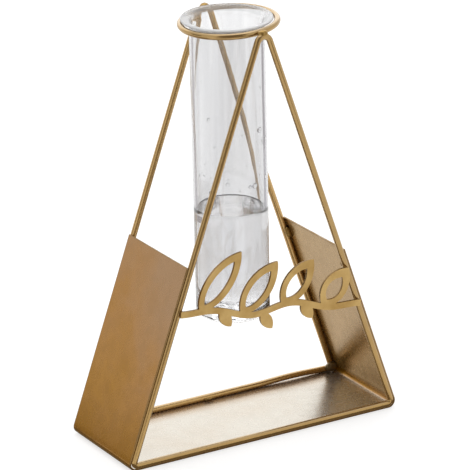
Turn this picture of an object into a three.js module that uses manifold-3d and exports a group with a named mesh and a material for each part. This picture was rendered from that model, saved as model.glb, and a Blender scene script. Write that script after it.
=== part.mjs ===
// Bud vase with metal stand.
// A flared glass tube hangs by its lip in a wire ring. Two bent wire triangles carry the ring at their
// apexes, a folded strip of sheet wraps round the outside of both as base and wings, and a flat cut vine
// crosses the front legs. Small weld beads hold the stand together.
// Millimetres, +Z up, front towards -Y, origin in the middle of the sheet's underside.

import * as THREE from "three";
import { mergeVertices } from "three/addons/utils/BufferGeometryUtils.js";
import Module from "manifold-3d";

const wasm = await Module();
wasm.setup();

// Wire triangles, measured on the wire's centreline between sharp corners
const WIRE_DIAMETER = 2.6;
const BASE_WIDTH = 122.6;
const APEX_RISE = 173.2;
const BASE_BEND_RADIUS = 1.6;
const APEX_BEND_RADIUS = 3;

// Folded sheet: its edges lie back from the outer sides of the wires, and its left wing stands taller
const SHEET_THICKNESS = 0.6;
const SHEET_GAP = 0.15;
const SHEET_SETBACK = 1;
const SHEET_BEND_RADIUS = 2.4;
const LEFT_WING_RISE = 78;
const RIGHT_WING_RISE = 71.4;

// Glass tube: it hangs a little off the ring's middle and out of plumb
const TUBE_DIAMETER = 30;
const TUBE_WALL = 1.5;
const TUBE_LENGTH = 124.5;
const TUBE_FLOOR = 4;
const TUBE_FOOT_ROUND = 3.2;
const TUBE_INNER_ROUND = 4;
const LIP_THICKNESS = 1;
const LIP_BEARING = 0.6;
const TUBE_SHIFT = -0.8;
const TUBE_LEAN = 1;

// Ring that carries the tube: welded a little to the left of the apexes, its right side higher
const RING_PLAY = 2.8;
const RING_RISE = 0.75;
const RING_SHIFT = -2.1;
const RING_TILT = 3;
const APEX_WELD_GAP = 0.9;

// Cut vine on the front legs
const VINE_THICKNESS = 1;
const VINE_STROKE = 2.6;
const VINE_LEFT_RISE = 60.5;
const VINE_RIGHT_RISE = 48.5;
const VINE_SWAY = 2.2;
const VINE_WAVES = 2;
const LEAF_COUNT = 4;
const FIRST_LEAF_SHARE = 0.1;
const LAST_LEAF_SHARE = 0.78;
const LEAF_ANGLE = 56;
const LEAF_OPENING_LEFT = 21;
const LEAF_OPENING_RIGHT = 11;
const LEAF_OPENING_WIDTH = 6.8;
const BUD_LENGTH = 9;
const BUD_WIDTH = 5;
const BUD_ANGLE = -48;

// Weld beads: half lengths along the wire, away from the seat and across the wire
const TACK_HALF_LENGTH = 2.6;
const TACK_HALF_HEIGHT = 1.3;
const TACK_HALF_WIDTH = 1.1;
const TACK_BELOW_TOP = 6;
const CORNER_WELD_RADIUS = 2.5;
const APEX_WELD_HALF_LENGTH = 2.6;
const APEX_WELD_HALF_HEIGHT = 1.7;
const VINE_WELD_RADIUS = 1.3;

// Clearance left between pieces that touch
const SEAT_GAP = 0.25;

// Facets
const WIRE_SIDES = 12;
const BEND_STEPS = 7;
const RING_STEPS = 56;
const TUBE_STEPS = 44;
const ARC_POINTS = 4;
const VINE_STEPS = 44;
const LEAF_POINTS = 8;

// Worked out from the values above
const wireRadius = WIRE_DIAMETER / 2;
const tubeRadius = TUBE_DIAMETER / 2;
const ringInnerRadius = tubeRadius + RING_PLAY;
const ringRadius = ringInnerRadius + wireRadius;
const frameOffset = ringRadius + wireRadius + APEX_WELD_GAP + wireRadius;
const legLean = Math.atan2(APEX_RISE, BASE_WIDTH / 2);
const apexTop = APEX_RISE - APEX_BEND_RADIUS * (1 / Math.cos(legLean) - 1);
const ringHeight = apexTop + RING_RISE;
const ringTilt = THREE.MathUtils.degToRad(RING_TILT);
const tubeLean = THREE.MathUtils.degToRad(TUBE_LEAN);
const ringReach = Math.sqrt(ringRadius ** 2 - (RING_SHIFT / Math.cos(ringTilt)) ** 2);
const ringHeightAtApex = ringHeight - RING_SHIFT * Math.tan(ringTilt);
const sheetOffset = wireRadius + SHEET_GAP;
const sheetFold = SHEET_BEND_RADIUS - sheetOffset;
const sheetWidth = 2 * (frameOffset + wireRadius - SHEET_SETBACK);
const baseLift = sheetOffset + SHEET_THICKNESS;
const lipCentre = ringInnerRadius + LIP_BEARING - LIP_THICKNESS / 2;
const lipUnderside = TUBE_LENGTH - LIP_THICKNESS;
const vineBack = -(frameOffset + wireRadius + SEAT_GAP);

const goldLacquer = { color: 0xb98f55, roughness: 0.32, metalness: 1 };
const paleGoldLacquer = { color: 0xc8a468, roughness: 0.42, metalness: 1 };
const weldMetal = { color: 0x6f5228, roughness: 0.5, metalness: 1 };
const clearGlass = { color: 0xe4e8e8, roughness: 0.05, metalness: 0, transparent: true, opacity: 0.35 };

/** Turns a closed geometry into a solid that can be joined and cut. */
function solidFrom(geometry) {
  const bare = geometry.clone();
  bare.deleteAttribute("normal");
  bare.deleteAttribute("uv");
  const merged = mergeVertices(bare, 1e-4);
  return new wasm.Manifold(new wasm.Mesh({
    numProp: 3,
    vertProperties: new Float32Array(merged.attributes.position.array),
    triVerts: new Uint32Array(merged.index.array),
  }));
}

/** Turns a joined or cut solid back into a geometry. */
function geometryFrom(solid) {
  const mesh = solid.getMesh();
  const geometry = new THREE.BufferGeometry();
  geometry.setAttribute("position", new THREE.BufferAttribute(mesh.vertProperties, 3));
  geometry.setIndex(new THREE.BufferAttribute(mesh.triVerts, 1));
  geometry.computeVertexNormals();
  return geometry;
}

/** A named piece with a material of its own. */
function piece(name, geometry, finish) {
  const mesh = new THREE.Mesh(geometry, new THREE.MeshStandardMaterial(finish));
  mesh.name = name;
  return mesh;
}

/** Extrudes an outline drawn in X and Z, centred on y = 0. */
function extrudeAcross(shape, depth, curveSegments) {
  const geometry = new THREE.ExtrudeGeometry(shape, { depth, curveSegments, bevelEnabled: false });
  geometry.translate(0, 0, -depth / 2);
  geometry.rotateX(Math.PI / 2);
  return geometry;
}

/** Wire bent round the corners of a flat polygon in X and Z and closed on itself. */
class BentWireLoop extends THREE.Curve {
  constructor(corners, bendRadii) {
    super();
    this.stations = corners.flatMap((corner, index) => {
      const before = corners[(index + corners.length - 1) % corners.length];
      const after = corners[(index + 1) % corners.length];
      return BentWireLoop.bend(before, corner, after, bendRadii[index]);
    });
  }

  /** Points and directions of one bend, from its first tangent point to its last. */
  static bend(before, corner, after, radius) {
    const inward = corner.clone().sub(before).normalize();
    const outward = after.clone().sub(corner).normalize();
    const turn = Math.acos(THREE.MathUtils.clamp(inward.dot(outward), -1, 1));
    const start = corner.clone().addScaledVector(inward, -radius * Math.tan(turn / 2));
    const centre = start.clone().add(new THREE.Vector2(-inward.y, inward.x).multiplyScalar(radius));
    return Array.from({ length: BEND_STEPS + 1 }, (_, step) => {
      const angle = (turn * step) / BEND_STEPS;
      const point = start.clone().rotateAround(centre, angle);
      const along = inward.clone().rotateAround(new THREE.Vector2(), angle);
      return {
        point: new THREE.Vector3(point.x, 0, point.y),
        along: new THREE.Vector3(along.x, 0, along.y),
      };
    });
  }

  stationAt(share) {
    return this.stations[Math.round(share * this.stations.length) % this.stations.length];
  }

  getPointAt(share, target = new THREE.Vector3()) {
    return target.copy(this.stationAt(share).point);
  }

  getTangentAt(share, target = new THREE.Vector3()) {
    return target.copy(this.stationAt(share).along);
  }
}

/** One wire triangle in the plane y = 0, with its wire grown by a clearance. */
function frameGeometry(growth = 0) {
  const loop = new BentWireLoop(
    [
      new THREE.Vector2(-BASE_WIDTH / 2, 0),
      new THREE.Vector2(BASE_WIDTH / 2, 0),
      new THREE.Vector2(0, APEX_RISE),
    ],
    [BASE_BEND_RADIUS, BASE_BEND_RADIUS, APEX_BEND_RADIUS],
  );
  return new THREE.TubeGeometry(loop, loop.stations.length, wireRadius + growth, WIRE_SIDES, true);
}

/** The ring where the apexes hold it. */
function ringGeometry(growth = 0) {
  const ring = new THREE.TorusGeometry(ringRadius, wireRadius + growth, WIRE_SIDES, RING_STEPS);
  return ring.rotateY(-ringTilt).translate(RING_SHIFT, 0, ringHeight);
}

/** A point on a leg's centreline; side is -1 for the left leg and 1 for the right. */
function legPoint(side, rise) {
  return new THREE.Vector2(side * (BASE_WIDTH / 2 - rise / Math.tan(legLean)), rise);
}

/** How far a wing climbs its leg; side is -1 for the left wing and 1 for the right. */
function wingRise(side) {
  return side < 0 ? LEFT_WING_RISE : RIGHT_WING_RISE;
}

/** The direction away from the triangle, square to a leg. */
function legOutward(side) {
  return new THREE.Vector2(side * Math.sin(legLean), Math.cos(legLean));
}

/** The strip of sheet folded round the outside of the wires, grown by a clearance. */
function cradleGeometry(growth = 0) {
  const inner = sheetOffset - growth;
  const outer = sheetOffset + SHEET_THICKNESS + growth;
  const extra = growth * Math.sin(legLean);
  const wingTop = (side, offset) => {
    return legPoint(side, wingRise(side) + extra).addScaledVector(legOutward(side), offset);
  };
  const bendX = BASE_WIDTH / 2 - sheetFold / Math.tan(legLean / 2);
  const down = -Math.PI / 2;
  const rightAngle = Math.PI / 2 - legLean;
  const leftAngle = Math.PI - rightAngle;
  const outline = new THREE.Shape();
  outline.moveTo(...wingTop(-1, inner));
  outline.lineTo(...wingTop(-1, outer));
  outline.absarc(-bendX, sheetFold, sheetFold + outer, leftAngle, Math.PI - down, false);
  outline.absarc(bendX, sheetFold, sheetFold + outer, down, rightAngle, false);
  outline.lineTo(...wingTop(1, outer));
  outline.lineTo(...wingTop(1, inner));
  outline.absarc(bendX, sheetFold, sheetFold + inner, rightAngle, down, true);
  outline.absarc(-bendX, sheetFold, sheetFold + inner, Math.PI - down, leftAngle, true);
  return extrudeAcross(outline, sheetWidth + 2 * growth, BEND_STEPS);
}

/** Where the vine's stem runs; share goes from 0 at the left leg to 1 at the right leg. */
function stemPoint(share) {
  const left = legPoint(-1, VINE_LEFT_RISE);
  const right = legPoint(1, VINE_RIGHT_RISE);
  const point = left.lerp(right, share);
  point.y += VINE_SWAY * Math.sin(2 * Math.PI * VINE_WAVES * share) * Math.sin(Math.PI * share);
  return point;
}

/** The stem's direction at a share of its length. */
function stemDirection(share) {
  const reach = 0.5 / VINE_STEPS;
  return stemPoint(share + reach).sub(stemPoint(share - reach)).normalize();
}

/** Outline of the stem: a strip of even width along its waves. */
function stemShape(halfWidth) {
  const edge = (side) => Array.from({ length: VINE_STEPS + 1 }, (_, step) => {
    const share = step / VINE_STEPS;
    const along = stemDirection(share);
    const across = new THREE.Vector2(-along.y, along.x);
    return stemPoint(share).addScaledVector(across, side * halfWidth);
  });
  return new THREE.Shape([...edge(-1), ...edge(1).reverse()]);
}

/** Pointed leaf along +X, drawn counter-clockwise on a shape or a hole. */
function drawLeaf(path, start, length, halfWidth) {
  const belly = halfWidth * (4 / 3);
  path.moveTo(start, 0);
  path.bezierCurveTo(start + length * 0.2, -belly, start + length * 0.72, -belly, start + length, 0);
  path.bezierCurveTo(start + length * 0.72, belly, start + length * 0.2, belly, start, 0);
}

/** Open leaf: a pointed opening with a band round it as wide as the stem, longer at its two points. */
function leafShape(openingLength, openingWidth, growth) {
  const rootBand = VINE_STROKE * 1.3;
  const tipBand = VINE_STROKE * 1.8;
  const leaf = new THREE.Shape();
  const length = rootBand + openingLength + tipBand;
  drawLeaf(leaf, -growth, length + 2 * growth, openingWidth / 2 + VINE_STROKE + growth);
  const opening = new THREE.Path();
  drawLeaf(opening, rootBand, openingLength, openingWidth / 2);
  leaf.holes.push(opening);
  return leaf;
}

/** Small closed bud. */
function budShape(growth) {
  const bud = new THREE.Shape();
  drawLeaf(bud, -growth, BUD_LENGTH + 2 * growth, BUD_WIDTH / 2 + growth);
  return bud;
}

/** The vine in front of the legs: a waving stem with open leaves above and small buds below. */
function vineSolid(growth = 0) {
  const depth = VINE_THICKNESS + 2 * growth;
  const slope = stemPoint(1).sub(stemPoint(0)).angle();
  const leafShare = (progress) => THREE.MathUtils.lerp(FIRST_LEAF_SHARE, LAST_LEAF_SHARE, progress);
  const grownAt = (shape, share, angle) => {
    const root = stemPoint(share);
    const growthPiece = extrudeAcross(shape, depth, LEAF_POINTS);
    growthPiece.rotateY(-(slope + THREE.MathUtils.degToRad(angle)));
    growthPiece.translate(root.x, 0, root.y);
    return solidFrom(growthPiece);
  };
  let solid = solidFrom(extrudeAcross(stemShape(VINE_STROKE / 2 + growth), depth, 1));
  for (let index = 0; index < LEAF_COUNT; index += 1) {
    const progress = index / (LEAF_COUNT - 1);
    const opening = THREE.MathUtils.lerp(LEAF_OPENING_LEFT, LEAF_OPENING_RIGHT, progress);
    const leaf = leafShape(opening, LEAF_OPENING_WIDTH, growth);
    solid = solid.add(grownAt(leaf, leafShare(progress), LEAF_ANGLE));
  }
  for (let index = 0; index < LEAF_COUNT - 1; index += 1) {
    const progress = (index + 0.5) / (LEAF_COUNT - 1);
    solid = solid.add(grownAt(budShape(growth), leafShare(progress), BUD_ANGLE));
  }
  return solid.translate(0, vineBack - VINE_THICKNESS / 2, 0);
}

/** The glass tube, standing on z = 0: outside, rolled lip, inside and floor in one turned profile. */
function tubeGeometry() {
  const bead = LIP_THICKNESS / 2;
  const flare = lipCentre - tubeRadius;
  const flareStart = lipUnderside - flare;
  const bore = tubeRadius - TUBE_WALL;
  const quarter = Math.PI / 2;
  const profile = new THREE.Path();
  profile.moveTo(0, 0);
  profile.lineTo(tubeRadius - TUBE_FOOT_ROUND, 0);
  profile.absarc(tubeRadius - TUBE_FOOT_ROUND, TUBE_FOOT_ROUND, TUBE_FOOT_ROUND, -quarter, 0, false);
  profile.absarc(lipCentre, flareStart, flare, 2 * quarter, quarter, true);
  profile.absarc(lipCentre, lipUnderside + bead, bead, -quarter, quarter, false);
  profile.absellipse(
    lipCentre, flareStart, lipCentre - bore, flare + LIP_THICKNESS, quarter, 2 * quarter, false, 0,
  );
  profile.lineTo(bore, TUBE_FLOOR + TUBE_INNER_ROUND);
  profile.absarc(bore - TUBE_INNER_ROUND, TUBE_FLOOR + TUBE_INNER_ROUND, TUBE_INNER_ROUND, 0, -quarter, true);
  profile.lineTo(0, TUBE_FLOOR);
  const points = profile.getPoints(ARC_POINTS).filter((point, index, all) => {
    return index === 0 || point.distanceTo(all[index - 1]) > 1e-6;
  });
  return new THREE.LatheGeometry(points, TUBE_STEPS).rotateX(Math.PI / 2);
}

/** How far above the ring's middle the lip's round edge lies once it touches the ring somewhere. */
function lipSeatHeight() {
  const tilt = ringTilt - tubeLean;
  const touch = LIP_THICKNESS / 2 + wireRadius + SEAT_GAP;
  const heights = Array.from({ length: RING_STEPS }, (_, step) => {
    const angle = (2 * Math.PI * step) / RING_STEPS;
    const across = TUBE_SHIFT + lipCentre * Math.cos(angle) * Math.cos(tilt);
    const apart = ringRadius - Math.hypot(across, lipCentre * Math.sin(angle));
    const dip = lipCentre * Math.cos(angle) * Math.sin(tilt);
    return Math.abs(apart) < touch ? Math.sqrt(touch ** 2 - apart ** 2) + dip : -Infinity;
  });
  return Math.max(...heights);
}

/** An egg-shaped bead of weld, turned to lie along a wire and cut clear of what it joins. */
function weldGeometry(halfLength, halfWidth, halfHeight, lean, centre, neighbours) {
  const bead = new THREE.SphereGeometry(1, 14, 10);
  bead.scale(halfLength, halfWidth, halfHeight);
  bead.rotateY(-lean);
  bead.translate(centre.x, centre.y, centre.z);
  const cut = neighbours.reduce((solid, neighbour) => solid.subtract(neighbour), solidFrom(bead));
  return geometryFrom(cut);
}

// Stand: everything that is welded together, measured from the centreline of the base wires
const stand = new THREE.Group();
stand.position.z = baseLift;

const frontFrame = piece("front_wire_frame", frameGeometry(), goldLacquer);
frontFrame.position.y = -frameOffset;
const rearFrame = piece("rear_wire_frame", frameGeometry(), goldLacquer);
rearFrame.position.y = frameOffset;
stand.add(frontFrame, rearFrame);
stand.add(piece("tube_ring", ringGeometry(), goldLacquer));
stand.add(piece("sheet_cradle", cradleGeometry(), goldLacquer));
stand.add(piece("vine_ornament", geometryFrom(vineSolid()), paleGoldLacquer));

// Weld beads, each cut clear of its neighbours
const clearCradle = solidFrom(cradleGeometry(SEAT_GAP));
const clearRing = solidFrom(ringGeometry(SEAT_GAP));
const clearVine = vineSolid(SEAT_GAP);
const midSheet = sheetOffset + SHEET_THICKNESS / 2;
const tackOut = midSheet - TACK_HALF_HEIGHT;
const tackAcross = frameOffset - wireRadius - SEAT_GAP;

for (const [end, way] of [["front", -1], ["rear", 1]]) {
  const clearFrame = solidFrom(frameGeometry(SEAT_GAP)).translate(0, way * frameOffset, 0);
  const apexCentre = new THREE.Vector3(
    0,
    way * (ringReach + frameOffset) / 2,
    (apexTop + ringHeightAtApex) / 2,
  );
  const apexHalfWidth = (frameOffset - ringReach) / 2 - wireRadius * 0.4;
  stand.add(piece(
    `${end}_apex_weld`,
    weldGeometry(
      APEX_WELD_HALF_LENGTH, apexHalfWidth, APEX_WELD_HALF_HEIGHT, 0, apexCentre, [clearFrame, clearRing],
    ),
    weldMetal,
  ));

  const baseCentre = new THREE.Vector3(0, way * tackAcross, -tackOut);
  stand.add(piece(
    `${end}_base_weld`,
    weldGeometry(
      TACK_HALF_LENGTH, TACK_HALF_WIDTH, TACK_HALF_HEIGHT, 0, baseCentre, [clearFrame, clearCradle],
    ),
    weldMetal,
  ));

  for (const [hand, side] of [["left", -1], ["right", 1]]) {
    const seat = legPoint(side, wingRise(side) - TACK_BELOW_TOP).addScaledVector(legOutward(side), tackOut);
    const wingCentre = new THREE.Vector3(seat.x, way * tackAcross, seat.y);
    stand.add(piece(
      `${end}_${hand}_wing_weld`,
      weldGeometry(
        TACK_HALF_LENGTH, TACK_HALF_WIDTH, TACK_HALF_HEIGHT, -side * legLean, wingCentre,
        [clearFrame, clearCradle],
      ),
      weldMetal,
    ));

    if (end === "front") {
      const rise = side < 0 ? VINE_LEFT_RISE : VINE_RIGHT_RISE;
      const inside = legPoint(side, rise).addScaledVector(legOutward(side), -wireRadius - SEAT_GAP);
      const vineCentre = new THREE.Vector3(inside.x, vineBack + VINE_WELD_RADIUS, inside.y);
      stand.add(piece(
        `vine_${hand}_weld`,
        weldGeometry(
          VINE_WELD_RADIUS, VINE_WELD_RADIUS, VINE_WELD_RADIUS, -side * legLean, vineCentre,
          [clearFrame, clearVine],
        ),
        weldMetal,
      ));
    }
  }

  if (end === "rear") {
    const bendMiddle = legLean / 2;
    const bendReach = sheetFold + midSheet - CORNER_WELD_RADIUS;
    const cornerCentre = new THREE.Vector3(
      BASE_WIDTH / 2 - sheetFold / Math.tan(bendMiddle) + bendReach * Math.cos(bendMiddle),
      tackAcross,
      sheetFold - bendReach * Math.sin(bendMiddle),
    );
    stand.add(piece(
      "rear_corner_weld",
      weldGeometry(
        CORNER_WELD_RADIUS, CORNER_WELD_RADIUS * 0.8, CORNER_WELD_RADIUS, bendMiddle, cornerCentre,
        [clearFrame, clearCradle],
      ),
      weldMetal,
    ));
  }
}

// Vase: the tube hangs with the round edge of its lip on the inner shoulder of the ring
const ringSeat = new THREE.Group();
ringSeat.position.set(RING_SHIFT, 0, baseLift + ringHeight);
ringSeat.rotation.y = -ringTilt;

const hangingTube = tubeGeometry().translate(0, 0, -(lipUnderside + LIP_THICKNESS / 2));
const glassTube = piece("glass_tube", hangingTube, clearGlass);
glassTube.position.set(TUBE_SHIFT, 0, lipSeatHeight());
glassTube.rotation.y = ringTilt - tubeLean;
ringSeat.add(glassTube);

const vase = new THREE.Group();
vase.add(stand, ringSeat);

export default vase;
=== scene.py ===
"""Looks of a glass tube vase that hangs in a bent wire stand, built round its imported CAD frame.

Every length is in metres and every piece sits in the frame of the CAD model: +Z up, the front towards -Y,
the origin in the middle of the flat base.
"""
import logging
import math
from dataclasses import dataclass, field
from enum import Enum
from typing import Any, Iterable, Sequence

import bmesh
import bpy
import numpy as np
from bpy.types import ID, Material, Mesh, Node, NodeSocket, NodeTree, Object, World
from mathutils import Matrix, Vector, noise


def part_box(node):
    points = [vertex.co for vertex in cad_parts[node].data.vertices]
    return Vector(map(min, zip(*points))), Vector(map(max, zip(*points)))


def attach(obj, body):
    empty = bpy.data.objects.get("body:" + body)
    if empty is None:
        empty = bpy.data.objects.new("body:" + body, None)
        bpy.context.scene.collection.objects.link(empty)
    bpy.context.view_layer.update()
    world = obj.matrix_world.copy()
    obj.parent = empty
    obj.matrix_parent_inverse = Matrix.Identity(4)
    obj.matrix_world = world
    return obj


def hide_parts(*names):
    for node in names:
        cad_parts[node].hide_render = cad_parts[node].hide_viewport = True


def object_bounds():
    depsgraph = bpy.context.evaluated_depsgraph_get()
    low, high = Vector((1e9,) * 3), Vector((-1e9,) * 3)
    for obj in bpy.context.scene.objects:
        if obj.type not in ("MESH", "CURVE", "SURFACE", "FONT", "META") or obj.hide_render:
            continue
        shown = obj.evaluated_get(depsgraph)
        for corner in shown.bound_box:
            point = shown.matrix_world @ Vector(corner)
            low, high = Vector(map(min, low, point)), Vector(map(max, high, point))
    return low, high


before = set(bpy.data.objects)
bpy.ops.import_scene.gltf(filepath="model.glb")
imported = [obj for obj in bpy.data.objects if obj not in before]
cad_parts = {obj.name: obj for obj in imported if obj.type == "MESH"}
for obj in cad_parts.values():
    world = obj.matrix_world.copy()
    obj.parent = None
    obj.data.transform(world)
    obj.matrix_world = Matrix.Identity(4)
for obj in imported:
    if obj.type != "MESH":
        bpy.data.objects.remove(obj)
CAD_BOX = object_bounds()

LOG = logging.getLogger("tube_vase")
MM = 0.001
QUARTER = math.pi / 2
# Points closer than the first are one point, and heights closer than the second are level.
MERGE_GAP = 1e-7
LEVEL_GAP = 1e-6
EDGE_SEGMENTS = 2
FEWEST_CORNERS = 3
# The sRGB curve: the end of its straight part, the slope there, and the shift and power of the rest.
SRGB_END, SRGB_SLOPE, SRGB_SHIFT, SRGB_POWER = 0.04045, 12.92, 0.055, 2.4
# Sockets of a Mix node that mixes colours: the share, the lower colour, the upper colour and the result.
MIX_SHARE, MIX_UNDER, MIX_OVER, MIX_RESULT = 0, 6, 7, 2
# Output of a Random Value node that gives a number.
RANDOM_NUMBER = 1
WHITE = "#FFFFFF"
# Papers of the studio cards.
WARM = "#FFE6C4"
COOL = "#F2F0F6"

Point = tuple[float, float]
Size = tuple[float, float, float]
Colour = tuple[float, float, float, float]
Face = tuple[int, ...]
Drawing = tuple[list[Vector], list[Face]]
Inputs = dict[str | int, Any] | Sequence[Any]
Paint = tuple[str, list[tuple[NodeSocket, str]], dict[str, Any]]


class Body(Enum):
    """CAD bodies that a piece can ride on."""

    STAND = "stand"
    TUBE = "tube"


class Slot(Enum):
    """Material slots of the record."""

    GOLD = "gold_lacquered_iron"
    PALE_GOLD = "pale_gold_lacquered_iron"
    WELD = "weld_metal"
    GLASS = "clear_glass"


class Side(Enum):
    """The two legs and wings, seen from the front."""

    LEFT = -1
    RIGHT = 1


class Ray(Enum):
    """Kinds of ray that can see a studio card."""

    CAMERA = "camera"
    DIFFUSE = "diffuse"
    GLOSSY = "glossy"
    TRANSMISSION = "transmission"
    SHADOW = "shadow"


def linear(code: str) -> Colour:
    """Turns an sRGB hex code into the linear colour that a socket takes, by the standard's own curve.

    Args:
        code: Six hex digits after a hash sign.

    Returns:
        Red, green, blue and a full alpha, linear.
    """
    shares = [int(code[start:start + 2], 16) / 255 for start in (1, 3, 5)]
    red, green, blue = (
        s / SRGB_SLOPE if s <= SRGB_END else ((s + SRGB_SHIFT) / (1 + SRGB_SHIFT)) ** SRGB_POWER
        for s in shares
    )
    return red, green, blue, 1.0


def fill_inputs(tree: NodeTree, node: Node, inputs: Inputs) -> None:
    """Fills the inputs of a node.

    Args:
        tree: Node tree that holds the node.
        node: The node.
        inputs: A value or the output socket to link from, by name or index or in order.
    """
    named = inputs if isinstance(inputs, dict) else dict(enumerate(inputs))
    for key, value in named.items():
        if isinstance(value, NodeSocket):
            tree.links.new(value, node.inputs[key])
        else:
            node.inputs[key].default_value = value


def add_node(
    tree: NodeTree, kind: str, inputs: Inputs = (), out: str | int = 0, **settings: Any
) -> NodeSocket | None:
    """Adds a node, sets its options and fills its inputs.

    Args:
        tree: Node tree that gets the node.
        kind: Blender's name of the node type.
        inputs: What its inputs get, as fill_inputs takes it.
        out: Name or index of the wanted output.
        **settings: Options of the node itself.

    Returns:
        The wanted output, or None from a node without outputs.
    """
    node = tree.nodes.new(kind)
    for option, value in settings.items():
        setattr(node, option, value)
    fill_inputs(tree, node, inputs)
    return node.outputs[out] if len(node.outputs) else None


def bare_tree(owner: Material | World) -> NodeTree:
    """Gives a material or a world an empty node tree.

    Args:
        owner: The material or the world.

    Returns:
        Its node tree.
    """
    owner.use_nodes = True
    owner.node_tree.nodes.clear()
    return owner.node_tree


def start_tree(name: str, carrier: str, sizes: dict[str, str]) -> tuple[NodeTree, dict[str, NodeSocket]]:
    """Starts a geometry tree with named inputs and one geometry output.

    Args:
        name: Name of the tree.
        carrier: Name of the input for the geometry that it works on.
        sizes: Socket type of each further input by name.

    Returns:
        The tree and its inputs by name, with the finish as the last one.
    """
    tree = bpy.data.node_groups.new(name, "GeometryNodeTree")
    kinds = {carrier: "Geometry", **sizes, "Finish": "Material"}
    for label, kind in kinds.items():
        tree.interface.new_socket(name=label, in_out="INPUT", socket_type=f"NodeSocket{kind}")
    tree.interface.new_socket(name="Piece", in_out="OUTPUT", socket_type="NodeSocketGeometry")
    given = tree.nodes.new("NodeGroupInput").outputs
    return tree, {label: given[label] for label in kinds}


def end_tree(tree: NodeTree, shape: NodeSocket, finish: NodeSocket) -> NodeTree:
    """Ends a geometry tree with smooth shading, real geometry and the finish.

    Args:
        tree: Tree to end.
        shape: Geometry made so far.
        finish: Material input of the tree.

    Returns:
        The same tree.
    """
    smooth = add_node(tree, "GeometryNodeSetShadeSmooth", {0: shape})
    real = add_node(tree, "GeometryNodeRealizeInstances", {0: smooth})
    dressed = add_node(tree, "GeometryNodeSetMaterial", {0: real, "Material": finish})
    add_node(tree, "NodeGroupOutput", {0: dressed})
    return tree


def link_object(name: str, data: ID) -> Object:
    """Makes an object at the origin and puts it in the scene.

    Args:
        name: Name of the object.
        data: Its mesh, curve, lamp or camera.

    Returns:
        The object.
    """
    made = bpy.data.objects.new(name, data)
    bpy.context.scene.collection.objects.link(made)
    return made


def mesh_object(
    name: str, points: Iterable[Sequence[float]], faces: Iterable[Sequence[int]],
    finish: Material | None = None,
) -> Object:
    """Makes a smooth mesh object.

    Args:
        name: Name of the object and its mesh.
        points: Corner points in metres.
        faces: Corner numbers of each face.
        finish: Material of the whole mesh.

    Returns:
        The object, at the origin.
    """
    mesh = bpy.data.meshes.new(name)
    mesh.from_pydata([tuple(point) for point in points], [], [tuple(face) for face in faces])
    mesh.shade_smooth()
    if finish:
        mesh.materials.append(finish)
    return link_object(name, mesh)


def path_object(name: str, path: Sequence[Vector]) -> Object:
    """Makes a curve object of one closed path.

    Args:
        name: Name of the object.
        path: Points of the path.

    Returns:
        The curve object.
    """
    curve = bpy.data.curves.new(name, "CURVE")
    curve.dimensions = "3D"
    spline = curve.splines.new("POLY")
    spline.points.add(len(path) - 1)
    for target, point in zip(spline.points, path):
        target.co = (*point, 1.0)
    spline.use_cyclic_u = True
    return link_object(name, curve)


def set_attributes(piece: Object, **columns: Sequence[Any]) -> None:
    """Writes named numbers or vectors on the points of a mesh.

    Args:
        piece: Mesh object.
        **columns: For each attribute, one value per point.
    """
    for name, column in columns.items():
        values = np.asarray(column, dtype=np.float32)
        kind, channel = ("FLOAT", "value") if values.ndim == 1 else ("FLOAT_VECTOR", "vector")
        piece.data.attributes.new(name, kind, "POINT").data.foreach_set(channel, values.ravel())


def face_outwards(mesh: Mesh) -> None:
    """Merges doubles and turns the faces of every closed shell outwards.

    Args:
        mesh: Mesh to change.
    """
    work = bmesh.new()
    work.from_mesh(mesh)
    bmesh.ops.remove_doubles(work, verts=work.verts, dist=MERGE_GAP)
    bmesh.ops.recalc_face_normals(work, faces=work.faces)
    work.to_mesh(mesh)
    work.free()


def as_plain_mesh(source: Object) -> Object:
    """Turns an object with its modifiers into an object of the same name with a plain mesh.

    Args:
        source: Object to turn, which is removed.

    Returns:
        The plain mesh object.
    """
    name = source.name
    graph = bpy.context.evaluated_depsgraph_get()
    mesh = bpy.data.meshes.new_from_object(
        source.evaluated_get(graph), preserve_all_data_layers=True, depsgraph=graph
    )
    bpy.data.objects.remove(source)
    mesh.name = name
    face_outwards(mesh)
    return link_object(name, mesh)


def grow(source: Object, tree: NodeTree, sizes: dict[str, Any]) -> Object:
    """Runs a geometry tree on an object and leaves a plain mesh in its place.

    Args:
        source: Object that carries the path, the points or the surface.
        tree: Geometry tree to run.
        sizes: Values of the tree's inputs by name.

    Returns:
        The plain mesh object.
    """
    modifier = source.modifiers.new(tree.name, "NODES")
    modifier.node_group = tree
    for item in tree.interface.items_tree:
        if item.in_out == "INPUT" and item.name in sizes:
            modifier[item.identifier] = sizes[item.name]
    return as_plain_mesh(source)


def round_edges(piece: Object, width: float, angle: float) -> None:
    """Rounds the sharp edges of a piece with a modifier.

    Args:
        piece: Mesh object.
        width: Width of the rounding.
        angle: Edges that turn by more than this are rounded, in radians.
    """
    edge = piece.modifiers.new("edge", "BEVEL")
    edge.width = width
    edge.segments = EDGE_SEGMENTS
    edge.limit_method = "ANGLE"
    edge.angle_limit = angle


def finish_piece(piece: Object, body: Body, nodes: Sequence[str] = ()) -> Object:
    """Puts a finished piece on its body and hides the CAD nodes that it stands for.

    Args:
        piece: Mesh object in its place.
        body: Body that it rides on.
        nodes: CAD nodes that it replaces.

    Returns:
        The same piece.
    """
    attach(piece, body.value)
    if nodes:
        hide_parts(*nodes)
    LOG.info("%s rides on %s with %d faces", piece.name, body.value, len(piece.data.polygons))
    return piece


def between(ends: Point, share: float) -> float:
    """Gives the value at a share of the way from one end to the other."""
    return ends[0] + (ends[1] - ends[0]) * share


def run(start: Point, end: Point, steps: int) -> list[Point]:
    """Gives points along a straight stretch, both ends included."""
    shares = np.linspace(0, 1, steps + 1)
    return [tuple(between(ends, share) for ends in zip(start, end)) for share in shares]


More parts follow.
